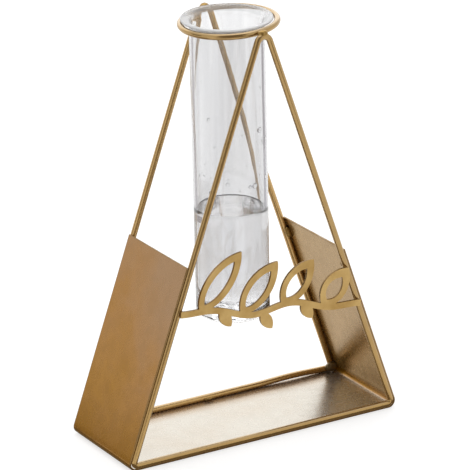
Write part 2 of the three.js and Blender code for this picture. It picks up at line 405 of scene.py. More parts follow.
def arc(centre: Point, radii: Point, start: float, end: float, steps: int) -> list[Point]:
    """Gives points along part of an ellipse, from one angle in radians to another, both ends included."""
    angles = np.linspace(start, end, steps + 1)
    return [(centre[0] + radii[0] * math.cos(a), centre[1] + radii[1] * math.sin(a)) for a in angles]


def joined(stretches: Iterable[Sequence[Point]]) -> list[Point]:
    """Joins stretches into one line, without the second of two points in one place."""
    line = [point for stretch in stretches for point in stretch]
    return [p for i, p in enumerate(line) if i == 0 or math.dist(p, line[i - 1]) > MERGE_GAP]


def level_ring(radius: float, height: float, steps: int) -> list[Vector]:
    """Gives the points of a level circle round the Z axis."""
    angles = [math.tau * step / steps for step in range(steps)]
    return [Vector((radius * math.cos(a), radius * math.sin(a), height)) for a in angles]


def grid_faces(rows: int, columns: int, closed: bool) -> list[Face]:
    """Gives the faces of a grid of points that is stored row by row.

    Args:
        rows: Number of rows.
        columns: Points in a row.
        closed: Whether each row goes round and meets itself.

    Returns:
        Corner numbers of each face.
    """
    pairs = [(here, (here + 1) % columns) for here in range(columns if closed else columns - 1)]
    starts = [(row * columns, (row + 1) * columns) for row in range(rows - 1)]
    return [(low + a, low + b, high + b, high + a) for low, high in starts for a, b in pairs]


def turned(profile: Sequence[Point], segments: int) -> Drawing:
    """Turns a profile about the Z axis into a closed shell.

    Args:
        profile: Radius and height of each point; the first and the last lie on the axis.
        segments: Number of steps round the axis.

    Returns:
        The points and the faces.
    """
    rings = profile[1:-1]
    points = [point for radius, height in rings for point in level_ring(radius, height, segments)]
    faces = grid_faces(len(rings), segments, closed=True)
    first, last = len(points), len(points) + 1
    top = first - segments
    for step in range(segments):
        after = (step + 1) % segments
        faces += [(first, after, step), (top + step, top + after, last)]
    return points + [Vector((0, 0, profile[0][1])), Vector((0, 0, profile[-1][1]))], faces


def heading(bearing: float, elevation: float) -> Vector:
    """Gives a direction of length 1, from degrees clockwise from +Y and degrees above the floor."""
    turn, rise = math.radians(bearing), math.radians(elevation)
    return Vector((math.sin(turn) * math.cos(rise), math.cos(turn) * math.cos(rise), math.sin(rise)))


def facing(aim: Vector, towards: Point, distance: float) -> Matrix:
    """Places something so that it faces a point.

    Args:
        aim: The point.
        towards: Bearing and elevation of the thing, seen from the point.
        distance: How far it is from the point.

    Returns:
        The matrix that puts it there.
    """
    away = heading(*towards)
    return Matrix.Translation(aim + away * distance) @ away.to_track_quat("Z", "Y").to_matrix().to_4x4()


@dataclass(frozen=True)
class Pattern:
    """Noise with features of a real size, and the number and weight of its finer layers."""

    size: float
    detail: float = 2.0
    roughness: float = 0.5

    def on(self, place: NodeSocket) -> dict[str, Any]:
        """Gives the inputs of a noise texture on these coordinates."""
        return {"Vector": place, "Scale": 1 / self.size, "Detail": self.detail, "Roughness": self.roughness}


@dataclass(frozen=True)
class Finish:
    """Surface of layers of colour that lie over each other."""

    name: str

    def make(self) -> Material:
        """Builds the finish.

        Returns:
            Its material.
        """
        material = bpy.data.materials.new(self.name)
        material.use_nodes = True
        tree = material.node_tree
        shader = next(node for node in tree.nodes if node.type == "BSDF_PRINCIPLED")
        lowest, layers, inputs = self.paint(tree, add_node(tree, "ShaderNodeTexCoord", out="Object"))
        colour = linear(lowest)
        for share, code in layers:
            mixed = {MIX_SHARE: share, MIX_UNDER: colour, MIX_OVER: linear(code)}
            colour = add_node(tree, "ShaderNodeMix", mixed, MIX_RESULT, data_type="RGBA")
        fill_inputs(tree, shader, {"Base Color": colour, **inputs})
        return material

    def paint(self, tree: NodeTree, place: NodeSocket) -> Paint:
        """Lays out the finish.

        Args:
            tree: Node tree of the material.
            place: Object coordinates.

        Returns:
            The lowest colour, the share and colour of each layer over it, and the shader's other inputs.
        """
        raise NotImplementedError


@dataclass(frozen=True)
class GoldLacquer(Finish):
    """Satin gold lacquer sprayed on iron.

    The eye gets a soft, slightly cloudy metallic sheen that is tan high up and at the front and ochre low
    down and at the back, with darker broken lines along the cut edges. Faces that face down get a painted
    light tone, and what faces up gets a painted pale sheen that stands in for a bright reflection.
    """

    name: str = "gold_lacquered_iron_sheet"
    # Tan high up and at the front, ochre low down and at the back.
    high_tone: str = "#A68159"
    middle_tone: str = "#AA7A3B"
    low_tone: str = "#A4720C"
    middle_tone_span: Point = (0.0, 0.5)
    high_tone_span: Point = (0.4, 0.95)
    fade: Point = (2 * MM, 86 * MM)
    drift: Point = (0.2, -0.6)
    # Painted light: faces that face down get another tone, which stands in for how they are lit.
    painted_underside_tone: str = "#AE8B4C"
    painted_underside_span: Point = (-0.1, -0.3)
    painted_underside_share: float = 0.85
    rubbed: str = "#6E4F28"
    rubbed_span: Point = (0.35, 0.75)
    rubbed_share: float = 0.14
    # Painted sheen: a pale colour on what faces up that stands in for a bright reflection.
    painted_sheen: str = "#C3BDB1"
    painted_sheen_span: Point = (0.55, 0.97)
    painted_sheen_gaps: Point = (0.25, 0.6)
    painted_sheen_in_gaps: float = 0.85
    painted_sheen_share: float = 1.0
    # Darker broken line along the sheet's cut edges.
    rim_tone: str = "#8A6C3E"
    rim_tone_span: Point = (0.5, 0.95)
    rim_tone_gaps: Point = (0.3, 0.6)
    rim_tone_in_gaps: float = 0.55
    cloud: Pattern = Pattern(24 * MM, 4.0, 0.55)
    cloud_span: Point = (0.3, 0.7)
    cloud_shift: float = 0.22
    mottle: Pattern = Pattern(5 * MM, 5.0, 0.6)
    peel: Pattern = Pattern(1.2 * MM)
    peel_depth: float = 0.0006 * MM
    sag: Pattern = Pattern(18 * MM, 1.0)
    sag_depth: float = 0.03 * MM
    gloss_span: Point = (0.3, 0.7)
    roughness: Point = (0.23, 0.31)
    metal: float = 0.72
    coat: float = 0.15
    coat_roughness: float = 0.16

    def paint(self, tree: NodeTree, place: NodeSocket) -> Paint:
        """Lays the tones, then rubbed mottle, painted sheen and darker edge lines, over sag and orange peel.

        Args:
            tree: Node tree of the material.
            place: Object coordinates.

        Returns:
            Colours and inputs, as every finish gives them.
        """
        cloud, mottle, peel, sag = (
            add_node(tree, "ShaderNodeTexNoise", pattern.on(place))
            for pattern in (self.cloud, self.mottle, self.peel, self.sag)
        )
        normal = add_node(tree, "ShaderNodeNewGeometry", out="Normal")
        upward = add_node(tree, "ShaderNodeSeparateXYZ", (normal,), "Z")
        rubbing = (mottle, *self.rubbed_span, 0.0, self.rubbed_share)
        layers = [
            *self.tone_by_height(tree, place, cloud, upward),
            (add_node(tree, "ShaderNodeMapRange", rubbing), self.rubbed),
            # Painted reflection: pale sheen on faces that face up.
            (self.painted_sheen_amount(tree, cloud, upward), self.painted_sheen),
            (self.rim_line(tree, mottle), self.rim_tone),
        ]
        gloss = add_node(tree, "ShaderNodeMapRange", (mottle, *self.gloss_span, *self.roughness))
        sagged = add_node(tree, "ShaderNodeBump", {"Height": sag, "Distance": self.sag_depth})
        skin = {"Height": peel, "Distance": self.peel_depth, "Normal": sagged}
        return self.low_tone, layers, {
            "Roughness": gloss, "Normal": add_node(tree, "ShaderNodeBump", skin), "Metallic": self.metal,
            "Coat Weight": self.coat, "Coat Roughness": self.coat_roughness,
        }

    def tone_by_height(
        self, tree: NodeTree, place: NodeSocket, cloud: NodeSocket, upward: NodeSocket
    ) -> list[tuple[NodeSocket, str]]:
        """Tones ochre low down and at the back to tan high up, with a painted light tone on faces that face
        down.

        Args:
            tree: Node tree of the material.
            place: Object coordinates.
            cloud: Soft noise that shifts the tones in places.
            upward: How far a surface faces up.

        Returns:
            Share and colour of each layer over the low tone.
        """
        along_drift = add_node(
            tree, "ShaderNodeVectorMath", (place, (*self.drift, 1.0)), "Value", operation="DOT_PRODUCT"
        )
        fade = add_node(tree, "ShaderNodeMapRange", (along_drift, *self.fade))
        shifts = (cloud, *self.cloud_span, -self.cloud_shift, self.cloud_shift)
        cloudy = add_node(tree, "ShaderNodeMapRange", shifts)
        tone_by_height = add_node(tree, "ShaderNodeMath", (fade, cloudy), operation="ADD")
        spreads = {
            self.middle_tone: (tone_by_height, *self.middle_tone_span),
            self.high_tone: (tone_by_height, *self.high_tone_span),
            # Painted light tone on faces that face down.
            self.painted_underside_tone: (upward, *self.painted_underside_span, 0.0, self.painted_underside_share),
        }
        return [(add_node(tree, "ShaderNodeMapRange", spread), code) for code, spread in spreads.items()]

    def painted_sheen_amount(self, tree: NodeTree, cloud: NodeSocket, upward: NodeSocket) -> NodeSocket:
        """Gives the painted pale sheen on what faces up, less where the painted wire shade attribute takes
        it away.

        Args:
            tree: Node tree of the material.
            cloud: Soft noise that thins the painted sheen in places.
            upward: How far a surface faces up.

        Returns:
            The share of painted sheen.
        """
        faces_up = add_node(tree, "ShaderNodeMapRange", (upward, *self.painted_sheen_span))
        thinnest = self.painted_sheen_in_gaps * self.painted_sheen_share
        sheen_cloud = add_node(tree, "ShaderNodeMapRange", (cloud, *self.painted_sheen_gaps, thinnest, self.painted_sheen_share))
        # Painted shade along the rear wire, which takes away part of the painted sheen.
        shelter = add_node(tree, "ShaderNodeAttribute", out="Fac", attribute_name="shelter")
        outside_wire_shade = add_node(tree, "ShaderNodeMath", (1.0, shelter), operation="SUBTRACT")
        sheen_on_top = add_node(tree, "ShaderNodeMath", (faces_up, sheen_cloud), operation="MULTIPLY")
        return add_node(tree, "ShaderNodeMath", (sheen_on_top, outside_wire_shade), operation="MULTIPLY")

    def rim_line(self, tree: NodeTree, mottle: NodeSocket) -> NodeSocket:
        """Gives the broken darker line along the cut edges that carry the rim attribute.

        Args:
            tree: Node tree of the material.
            mottle: Fine noise that breaks the line up.

        Returns:
            The share of the darker line.
        """
        rim = add_node(tree, "ShaderNodeAttribute", out="Fac", attribute_name="rim")
        line = add_node(tree, "ShaderNodeMapRange", (rim, *self.rim_tone_span))
        broken = add_node(tree, "ShaderNodeMapRange", (mottle, *self.rim_tone_gaps, self.rim_tone_in_gaps, 1.0))
        return add_node(tree, "ShaderNodeMath", (line, broken), operation="MULTIPLY")


@dataclass(frozen=True)
class PaleGoldLacquer(Finish):
    """Pale gold lacquer on the cut ornament.

    The eye gets a brighter, drier gold than the stand's, with a fine grain and darker cut edges. The real
    grain is finer than a pixel of the render, so it is drawn coarser.
    """

    name: str = "pale_gold_lacquered_iron"
    face: str = "#C8A769"
    shade: str = "#AE8A4C"
    shade_span: Point = (0.35, 0.7)
    cut: str = "#6E4F28"
    cut_span: Point = (0.9, 0.3)
    cut_share: float = 0.7
    cloud: Pattern = Pattern(9 * MM, 4.0)
    grain: Pattern = Pattern(1.2 * MM, 3.0)
    grain_depth: float = 0.008 * MM
    gloss_span: Point = (0.3, 0.7)
    roughness: Point = (0.38, 0.5)
    metal: float = 0.8
    coat: float = 0.15
    coat_roughness: float = 0.3

    def paint(self, tree: NodeTree, place: NodeSocket) -> Paint:
        """Lays an uneven gold with dark edges over the grain.

        Args:
            tree: Node tree of the material.
            place: Object coordinates.

        Returns:
            Colours and inputs, as every finish gives them.
        """
        cloud, grain = (
            add_node(tree, "ShaderNodeTexNoise", pattern.on(place)) for pattern in (self.cloud, self.grain)
        )
        uneven = add_node(tree, "ShaderNodeMapRange", (cloud, *self.shade_span))
        normal = add_node(tree, "ShaderNodeNewGeometry", out="Normal")
        depthways = add_node(tree, "ShaderNodeSeparateXYZ", (normal,), "Y")
        flatness = add_node(tree, "ShaderNodeMath", (depthways,), operation="ABSOLUTE")
        edge = add_node(tree, "ShaderNodeMapRange", (flatness, *self.cut_span, 0.0, self.cut_share))
        gloss = add_node(tree, "ShaderNodeMapRange", (grain, *self.gloss_span, *self.roughness))
        bumped = add_node(tree, "ShaderNodeBump", {"Height": grain, "Distance": self.grain_depth})
        return self.face, [(uneven, self.shade), (edge, self.cut)], {
            "Roughness": gloss, "Normal": bumped, "Metallic": self.metal,
            "Coat Weight": self.coat, "Coat Roughness": self.coat_roughness,
        }


@dataclass(frozen=True)
class WeldMetal(Finish):
    """Weld bead under lacquer.

    The eye gets a rough bead with brown scale in its hollows and gold on its crowns, burnt dark grey where
    the arc stayed long.
    """

    name: str = "lacquered_weld_metal"
    scale: str = "#8A6A36"
    crown: str = "#B8975A"
    burnt: str = "#857559"
    grit: Pattern = Pattern(0.8 * MM, 4.0)
    grit_span: Point = (0.35, 0.65)
    grit_depth: float = 0.05 * MM
    hollow_roughness: float = 0.5
    crown_roughness: float = 0.28
    metal: float = 0.8

    def paint(self, tree: NodeTree, place: NodeSocket) -> Paint:
        """Lays scale, gold and burns over the grit.

        Args:
            tree: Node tree of the material.
            place: Object coordinates.

        Returns:
            Colours and inputs, as every finish gives them.
        """
        grit = add_node(tree, "ShaderNodeTexNoise", self.grit.on(place))
        raised = add_node(tree, "ShaderNodeMapRange", (grit, *self.grit_span))
        scorch = add_node(tree, "ShaderNodeAttribute", out="Fac", attribute_name="scorch")
        polish = {"Value": raised, "To Min": self.hollow_roughness, "To Max": self.crown_roughness}
        return self.scale, [(raised, self.crown), (scorch, self.burnt)], {
            "Roughness": add_node(tree, "ShaderNodeMapRange", polish),
            "Normal": add_node(tree, "ShaderNodeBump", {"Height": grit, "Distance": self.grit_depth}),
            "Metallic": self.metal,
        }


@dataclass(frozen=True)
class SodaGlass(Finish):
    """Drawn soda glass.

    The eye gets a clear grey wall with soft streaks along the tube that bend what stands behind it, and a
    lip that is painted milky white and rough on its front-left side, a painted highlight.
    """

    name: str = "soda_glass"
    clear: str = "#E8E8E9"
    streak: str = "#D6D6D8"
    inner_and_lip_white: str = "#FCFCFC"
    streak_width: float = 4 * MM
    streak_length: float = 90 * MM
    streak_span: Point = (0.3, 0.7)
    streak_depth: float = 0.02 * MM
    lip_roughness: float = 0.7
    painted_lip_milk: float = 0.8
    haze: float = 0.1
    ior: float = 1.5

    def paint(self, tree: NodeTree, place: NodeSocket) -> Paint:
        """Lays streaks and haze on the skin of the tube, and a painted highlight on the front-left of its
        rim.

        Args:
            tree: Node tree of the material.
            place: Object coordinates.

        Returns:
            Colours and inputs, as every finish gives them.
        """
        rim, skin = (
            add_node(tree, "ShaderNodeAttribute", out="Fac", attribute_name=name) for name in ("rim", "skin")
        )
        drawn = (1 / self.streak_width, 1 / self.streak_width, 1 / self.streak_length)
        stretched = add_node(tree, "ShaderNodeMapping", {"Vector": place, "Scale": drawn})
        streaks = add_node(tree, "ShaderNodeTexNoise", {"Vector": stretched, "Scale": 1.0})
        uneven = add_node(tree, "ShaderNodeMapRange", (streaks, *self.streak_span))
        inside = add_node(tree, "ShaderNodeMath", (1.0, skin), operation="SUBTRACT")
        hazy = add_node(tree, "ShaderNodeMath", (skin, -self.haze, 1.0), operation="MULTIPLY_ADD")
        # Painted highlight: the lip's transmission drops, so it reads milky white.
        milky = add_node(tree, "ShaderNodeMath", (rim, -self.painted_lip_milk, hazy), operation="MULTIPLY_ADD")
        return self.clear, [(uneven, self.streak), (inside, self.inner_and_lip_white)], {
            "Roughness": add_node(tree, "ShaderNodeMath", (rim, self.lip_roughness), operation="MULTIPLY"),
            "Normal": add_node(tree, "ShaderNodeBump", {"Height": streaks, "Distance": self.streak_depth}),
            "Transmission Weight": milky, "IOR": self.ior,
        }


@dataclass(frozen=True)
class ClearWater(Finish):
    """Tap water.

    The eye gets a bright lens with the least tint of grey cloudiness.
    """

    name: str = "water"
    clear: str = WHITE
    cloudy: str = "#FBFBFC"
    cloud: Pattern = Pattern(8 * MM)
    ior: float = 1.333

    def paint(self, tree: NodeTree, place: NodeSocket) -> Paint:
        """Lays faint clouds in clear water.

        Args:
            tree: Node tree of the material.
            place: Object coordinates.

        Returns:
            Colours and inputs, as every finish gives them.
        """
        cloud = add_node(tree, "ShaderNodeTexNoise", self.cloud.on(place))
        return self.clear, [(cloud, self.cloudy)], {
            "Roughness": 0.0, "IOR": self.ior, "Transmission Weight": 1.0,
        }


@dataclass(frozen=True)
class StandLines:
    """Lines that the stand is bent to, measured on the wires' centrelines."""

    base_width: float = 122.6 * MM
    apex_rise: float = 173.2 * MM
    base_bend: float = 1.6 * MM
    apex_bend: float = 3 * MM
    bend_steps: int = 14

    @property
    def wire_radius(self) -> float:
        """Half the depth of the front frame in the CAD model."""
        low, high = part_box("front_wire_frame")
        return (high.y - low.y) / 2

    @property
    def base_lift(self) -> float:
        """Height of the base wires' centrelines."""
        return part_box("front_wire_frame")[0].z + self.wire_radius

    @property
    def lean(self) -> float:
        """Angle of a leg above the base, in radians."""
        return math.atan2(self.apex_rise, self.base_width / 2)

    def leg_point(self, side: Side, rise: float) -> Vector:
        """Gives the X and Z of the point on a leg's centreline at a height above the base wire."""
        reach = self.base_width / 2 - rise / math.tan(self.lean)
        return Vector((side.value * reach, self.base_lift + rise))

    def leg_outward(self, side: Side) -> Vector:
        """Gives the direction in X and Z that leaves the triangle, square to a leg."""
        return Vector((side.value * math.sin(self.lean), math.cos(self.lean)))

    def bend(self, before: Vector, corner: Vector, after: Vector, radius: float) -> list[Vector]:
        """Gives the points of one bend.

        Args:
            before: Corner before this one, as X and Z.
            corner: The corner.
            after: Corner after it.
            radius: Bend radius of the centreline.

        Returns:
            Points from the bend's first tangent point to its last.
        """
        inward = (corner - before).normalized()
        outward = (after - corner).normalized()
        turn = math.acos(max(-1.0, min(1.0, inward.dot(outward))))
        start = corner - inward * radius * math.tan(turn / 2)
        across = Vector((-inward.y, inward.x))
        centre = start + across * radius
        angles = (turn * step / self.bend_steps for step in range(self.bend_steps + 1))
        return [centre - across * radius * math.cos(a) + inward * radius * math.sin(a) for a in angles]

    def triangle(self) -> list[Vector]:
        """Gives the closed centreline of a frame.

        Returns:
            Its points as X and Z.
        """
        half, lift = self.base_width / 2, self.base_lift
        corners = [Vector((-half, lift)), Vector((half, lift)), Vector((0, lift + self.apex_rise))]
        radii = [self.base_bend, self.base_bend, self.apex_bend]
        points: list[Vector] = []
        for index, (corner, radius) in enumerate(zip(corners, radii)):
            points += self.bend(corners[index - 1], corner, corners[(index + 1) % len(corners)], radius)
        return points


@dataclass
class WireWork:
    """Two bent wire triangles and the ring between their apexes."""

    lines: StandLines
    finish: Material
    painted_lighter_rear_finish: Material
    sides: int = 28
    station_gap: float = 3 * MM
    waver: float = 0.06 * MM
    waver_size: float = 35 * MM
    seed: int = 3
    bow: float = 0.5 * MM
    bow_span: Point = (22 * MM, 61 * MM)
    ring_steps: int = 160
    ring_tilt: float = math.radians(3)

    def build(self) -> None:
        """Makes the two triangles and the ring and puts them on the stand."""
        # Unless it is seeded, noise_vector gives other values in each run.
        noise.seed_set(self.seed)
        tree = self.wire_tree()
        paths = {node: self.frame_path(node) for node in ("front_wire_frame", "rear_wire_frame")}
        paths["tube_ring"] = self.ring_path()
        for node, path in paths.items():
            # Painted light: the rear triangle gets a lighter copy of the wire's gold.
            finish = self.painted_lighter_rear_finish if node.startswith("rear") else self.finish
            sizes = {"Wire Radius": self.lines.wire_radius, "Sides": self.sides, "Finish": finish}
            wire = grow(path_object(f"{node}_looks", path), tree, sizes)
            finish_piece(wire, Body.STAND, [node])

    def wire_tree(self) -> NodeTree:
        """Builds the tree that draws wire along a path.

        Returns:
            The tree.
        """
        tree, given = start_tree("wire_along_path", "Path", {"Wire Radius": "Float", "Sides": "Int"})
        section = add_node(
            tree, "GeometryNodeCurvePrimitiveCircle",
            {"Resolution": given["Sides"], "Radius": given["Wire Radius"]}, mode="RADIUS",
        )
        wire = add_node(tree, "GeometryNodeCurveToMesh", {"Curve": given["Path"], "Profile Curve": section})
        return end_tree(tree, wire, given["Finish"])

    def frame_path(self, node: str) -> list[Vector]:
        """Gives the centreline of one triangle, a hair off true as hand-bent wire is.

        Args:
            node: CAD node of the triangle.

        Returns:
            Points of the closed line.
        """
        low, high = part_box(node)
        depth = (low.y + high.y) / 2
        corners = self.lines.triangle()
        path: list[Vector] = []
        for start, end in zip(corners, corners[1:] + corners[:1]):
            steps = max(1, round((end - start).length / self.station_gap))
            for step in range(steps):
                point = start.lerp(end, step / steps)
                bow = self.bow_at(point) if depth > 0 else 0.0
                true_point = Vector((point.x, depth, point.y + bow))
                path.append(true_point + noise.noise_vector(true_point / self.waver_size) * self.waver)
        return path

    def bow_at(self, point: Vector) -> float:
        """Gives how far the rear base wire stands off the sheet at a point, from its bending.

        Args:
            point: Point of the triangle as X and Z.

        Returns:
            The gap, which is 0 off the bowed stretch.
        """
        share = (point.x - self.bow_span[0]) / (self.bow_span[1] - self.bow_span[0])
        on_base = point.y < self.lines.base_lift + self.lines.wire_radius and 0 < share < 1
        return self.bow * math.sin(math.pi * share) ** 2 if on_base else 0.0

    def ring_path(self) -> list[Vector]:
        """Gives the centreline of the ring, its right side a little higher.

        Returns:
            Points of the closed line.
        """
        low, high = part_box("tube_ring")
        radius = (high.y - low.y) / 2 - self.lines.wire_radius
        place = Matrix.Translation((low + high) / 2) @ Matrix.Rotation(-self.ring_tilt, 4, "Y")
        return [place @ point for point in level_ring(radius, 0.0, self.ring_steps)]


@dataclass
class SheetCradle:
    """One strip of thin sheet folded round the wires as base and wings."""

    lines: StandLines
    finish: Material
    thickness: float = 0.75 * MM
    bend: float = 2.25 * MM
    left_rise: float = 78 * MM
    right_rise: float = 71.4 * MM
    station_gap: float = 2 * MM
    edge_round: float = 0.12 * MM
    edge_angle: float = math.radians(50)
    rim_width: float = 1.1 * MM
    # Painted shade: along the rear edge, where the rear wire lies, the painted sheen is partly taken away.
    shelter: Point = (5 * MM, 11 * MM)
    shelter_share: float = 0.42
    dent: float = 0.05 * MM
    dent_size: float = 28 * MM
    bend_steps: int = 12
    rim_stations: int = 6

    def build(self) -> None:
        """Makes the folded sheet and puts it on the stand."""
        stations, across = self.fold_line(), self.cross_line()
        total, front, rear = stations[-1][2], across[0], across[-1]
        points, rims, shelters = [], [], []
        for point, outward, walked in stations:
            for depth in across:
                true_point = Vector((point.x, depth, point.y))
                dent = self.dent * noise.noise(true_point / self.dent_size)
                points.append(true_point + Vector((outward.x, 0, outward.y)) * dent)
                border = min(walked, total - walked, depth - front, rear - depth)
                rims.append(max(0.0, 1 - border / self.rim_width))
                # Painted shade of the rear wire on the sheet.
                shelters.append(np.interp(rear - depth, self.shelter, (self.shelter_share, 0.0)))
        faces = grid_faces(len(stations), len(across), closed=False)
        sheet = mesh_object("sheet_cradle_looks", points, faces, self.finish)
        set_attributes(sheet, rim=rims, shelter=shelters)
        solid = sheet.modifiers.new("sheet", "SOLIDIFY")
        solid.thickness = self.thickness
        solid.offset = 0
        solid.use_even_offset = True
        round_edges(sheet, self.edge_round, self.edge_angle)
        finish_piece(as_plain_mesh(sheet), Body.STAND, ["sheet_cradle"])

    def fold_line(self) -> list[tuple[Vector, Vector, float]]:
        """Gives the sheet's middle line from the left wing's top to the right wing's top.

        Returns:
            For each station its X and Z, its outward direction and the way walked so far.
        """
        lines = self.lines
        offset = lines.wire_radius + self.thickness / 2
        bend = self.bend - lines.wire_radius
        bend_x = lines.base_width / 2 - bend / math.tan(lines.lean / 2)
        bend_z = lines.base_lift + bend
        left_top, right_top = (
            tuple(lines.leg_point(side, rise) + lines.leg_outward(side) * offset)
            for side, rise in ((Side.LEFT, self.left_rise), (Side.RIGHT, self.right_rise))
        )
        radii = (bend + offset, bend + offset)
        down = 3 * QUARTER
        left_bend = arc((-bend_x, bend_z), radii, QUARTER + lines.lean, down, self.bend_steps)
        right_bend = arc((bend_x, bend_z), radii, down, 5 * QUARTER - lines.lean, self.bend_steps)
        line = [Vector(point) for point in joined([
            self.dense_run(left_top, left_bend[0]), left_bend,
            run(left_bend[-1], right_bend[0], round(2 * bend_x / self.station_gap)), right_bend,
            self.dense_run(right_top, right_bend[-1])[::-1],
        ])]
        stations = []
        walked = 0.0
        for index, point in enumerate(line):
            along = line[min(index + 1, len(line) - 1)] - line[max(index - 1, 0)]
            walked += (point - line[index - 1]).length if index else 0.0
            stations.append((point, Vector((along.y, -along.x)).normalized(), walked))
        return stations

    def dense_run(self, start: Point, end: Point) -> list[Point]:
        """Gives a straight stretch with close stations at its start, for the rim.

        Args:
            start: End with the rim.
            end: Other end.

        Returns:
            Points from start to end.
        """
        length = math.dist(start, end)
        near = tuple(between(ends, self.rim_width / length) for ends in zip(start, end))
        return run(start, near, self.rim_stations) + run(near, end, round(length / self.station_gap))[1:]

    def cross_line(self) -> list[float]:
        """Gives the stations from the front edge of the sheet to its rear edge.

        Returns:
            Their depths along Y.
        """
        low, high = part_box("sheet_cradle")
        middle = round((high.y - low.y) / self.station_gap)
        front = np.linspace(low.y, low.y + self.rim_width, self.rim_stations + 1)
        inside = np.linspace(low.y + self.rim_width, high.y - self.rim_width, middle + 1)
        rear = np.linspace(high.y - self.rim_width, high.y, self.rim_stations + 1)
        return [float(y) for y in (*front, *inside[1:-1], *rear)]


@dataclass
class VineOrnament:
    """Flat cut vine across the front legs: a waving stem with open leaves above and small buds below."""

    lines: StandLines
    finish: Material
    stroke: float = 2.6 * MM
    left_rise: float = 60.5 * MM
    right_rise: float = 48.5 * MM
    sway: float = 2.2 * MM
    waves: int = 2
    leaf_count: int = 4
    leaf_shares: Point = (0.1, 0.78)
    leaf_angle: float = math.radians(56)
    leaf_pulls: Point = (0.2, 0.72)
    belly: float = 4 / 3
    openings: Point = (21 * MM, 11 * MM)
    opening_width: float = 6.8 * MM
    bud_length: float = 9 * MM
    bud_width: float = 5 * MM
    bud_angle: float = math.radians(-48)
    root_band: float = 1.3
    tip_band: float = 1.8
    steps: int = 96
    edge_round: float = 0.14 * MM
    edge_angle: float = math.radians(40)
    keys_per_metre: float = 1e8

    def build(self) -> None:
        """Makes the ornament and puts it on the stand."""
        slope = self.stem_point(1) - self.stem_point(0)
        tilt = math.atan2(slope.y, slope.x)
        gaps = self.leaf_count - 1
        leaves = [(self.leaf(i / gaps), i / gaps, self.leaf_angle) for i in range(self.leaf_count)]
        buds = [(self.bud(), (i + 0.5) / gaps, self.bud_angle) for i in range(gaps)]
        plates: Drawing = ([], [])
        self.add_plate(plates, self.stem())
        for drawing, progress, angle in leaves + buds:
            self.add_plate(plates, self.placed(drawing, between(self.leaf_shares, progress), tilt + angle))
        plate = grow(mesh_object("vine_ornament_looks", *plates), self.plate_tree(), {"Finish": self.finish})
        round_edges(plate, self.edge_round, self.edge_angle)
        plate.modifiers.new("shading", "WEIGHTED_NORMAL").keep_sharp = True
        finish_piece(as_plain_mesh(plate), Body.STAND, ["vine_ornament"])

    def plate_tree(self) -> NodeTree:
        """Builds the tree that joins the drawn strokes into one plate.

        Returns:
            The tree.
        """
        tree, given = start_tree("joined_plate", "Strokes", {})
        strokes = {1: given["Strokes"], "Self Intersection": True}
        plate = add_node(tree, "GeometryNodeMeshBoolean", strokes, operation="UNION", solver="EXACT")
        return end_tree(tree, plate, given["Finish"])

    def stem_point(self, share: float) -> Vector:
        """Gives a point of the stem's middle line.

        Args:
            share: How far along the stem, from 0 at the left leg to 1 at the right.

        Returns:
            The point as X and Z.
        """
        left = self.lines.leg_point(Side.LEFT, self.left_rise)
        right = self.lines.leg_point(Side.RIGHT, self.right_rise)
        wave = self.sway * math.sin(math.tau * self.waves * share) * math.sin(math.pi * share)
        return left.lerp(right, share) + Vector((0, wave))

    def stem(self) -> Drawing:
        """Draws the stem as a strip of even width.

        Returns:
            Its points and cells.
        """
        low, high = [], []
        half_step = 0.5 / self.steps
        for step in range(self.steps + 1):
            share = step / self.steps
            along = self.stem_point(share + half_step) - self.stem_point(share - half_step)
            across = Vector((-along.y, along.x)).normalized() * self.stroke / 2
            low.append(self.stem_point(share) - across)
            high.append(self.stem_point(share) + across)
        return self.strip(low, high)

    def leaf_edge(self, start: float, length: float, half_width: float) -> list[Vector]:
        """Draws the lower edge of a pointed leaf along +X, as one cubic curve.

        Args:
            start: Where the leaf starts.
            length: Length of the leaf.
            half_width: Half its width.

        Returns:
            Points from its root to its tip.
        """
        low = -half_width * self.belly
        root_pull, tip_pull = (start + length * pull for pull in self.leaf_pulls)
        controls = [Vector(p) for p in ((start, 0), (root_pull, low), (tip_pull, low), (start + length, 0))]
        count = self.steps // 2
        edge = []
        for step in range(count + 1):
            t = step / count
            weights = ((1 - t) ** 3, 3 * t * (1 - t) ** 2, 3 * t * t * (1 - t), t ** 3)
            edge.append(sum((c * w for c, w in zip(controls, weights)), Vector((0, 0))))
        return edge

    def leaf(self, progress: float) -> Drawing:
        """Draws an open leaf as a band round its opening.

        Args:
            progress: Which leaf, from the first at 0 to the last at 1.

        Returns:
            Points and cells of the band, along +X.
        """
        opening = between(self.openings, progress)
        root = self.root_band * self.stroke
        length = root + opening + self.tip_band * self.stroke
        outer = self.leaf_edge(0, length, self.opening_width / 2 + self.stroke)
        inner = self.leaf_edge(root, opening, self.opening_width / 2)
        loops = [edge + [Vector((p.x, -p.y)) for p in edge[-2:0:-1]] for edge in (outer, inner)]
        return loops[0] + loops[1], grid_faces(len(loops), len(loops[0]), closed=True)

    def bud(self) -> Drawing:
        """Draws a small closed bud."""
        low = self.leaf_edge(0, self.bud_length, self.bud_width / 2)
        return self.strip(low, [Vector((p.x, -p.y)) for p in low])

    def strip(self, low: list[Vector], high: list[Vector]) -> Drawing:
        """Fills the space between two edges with the same number of points."""
        return low + high, grid_faces(2, len(low), closed=False)

    def placed(self, drawing: Drawing, share: float, angle: float) -> Drawing:
        """Turns a drawing and sets its root on the stem.

        Args:
            drawing: Points and cells of a leaf or a bud.
            share: Where on the stem it grows.
            angle: Its direction in radians.

        Returns:
            The placed drawing.
        """
        outline, cells = drawing
        root = self.stem_point(share)
        turn = Matrix.Rotation(angle, 2)
        return [root + turn @ point for point in outline], cells

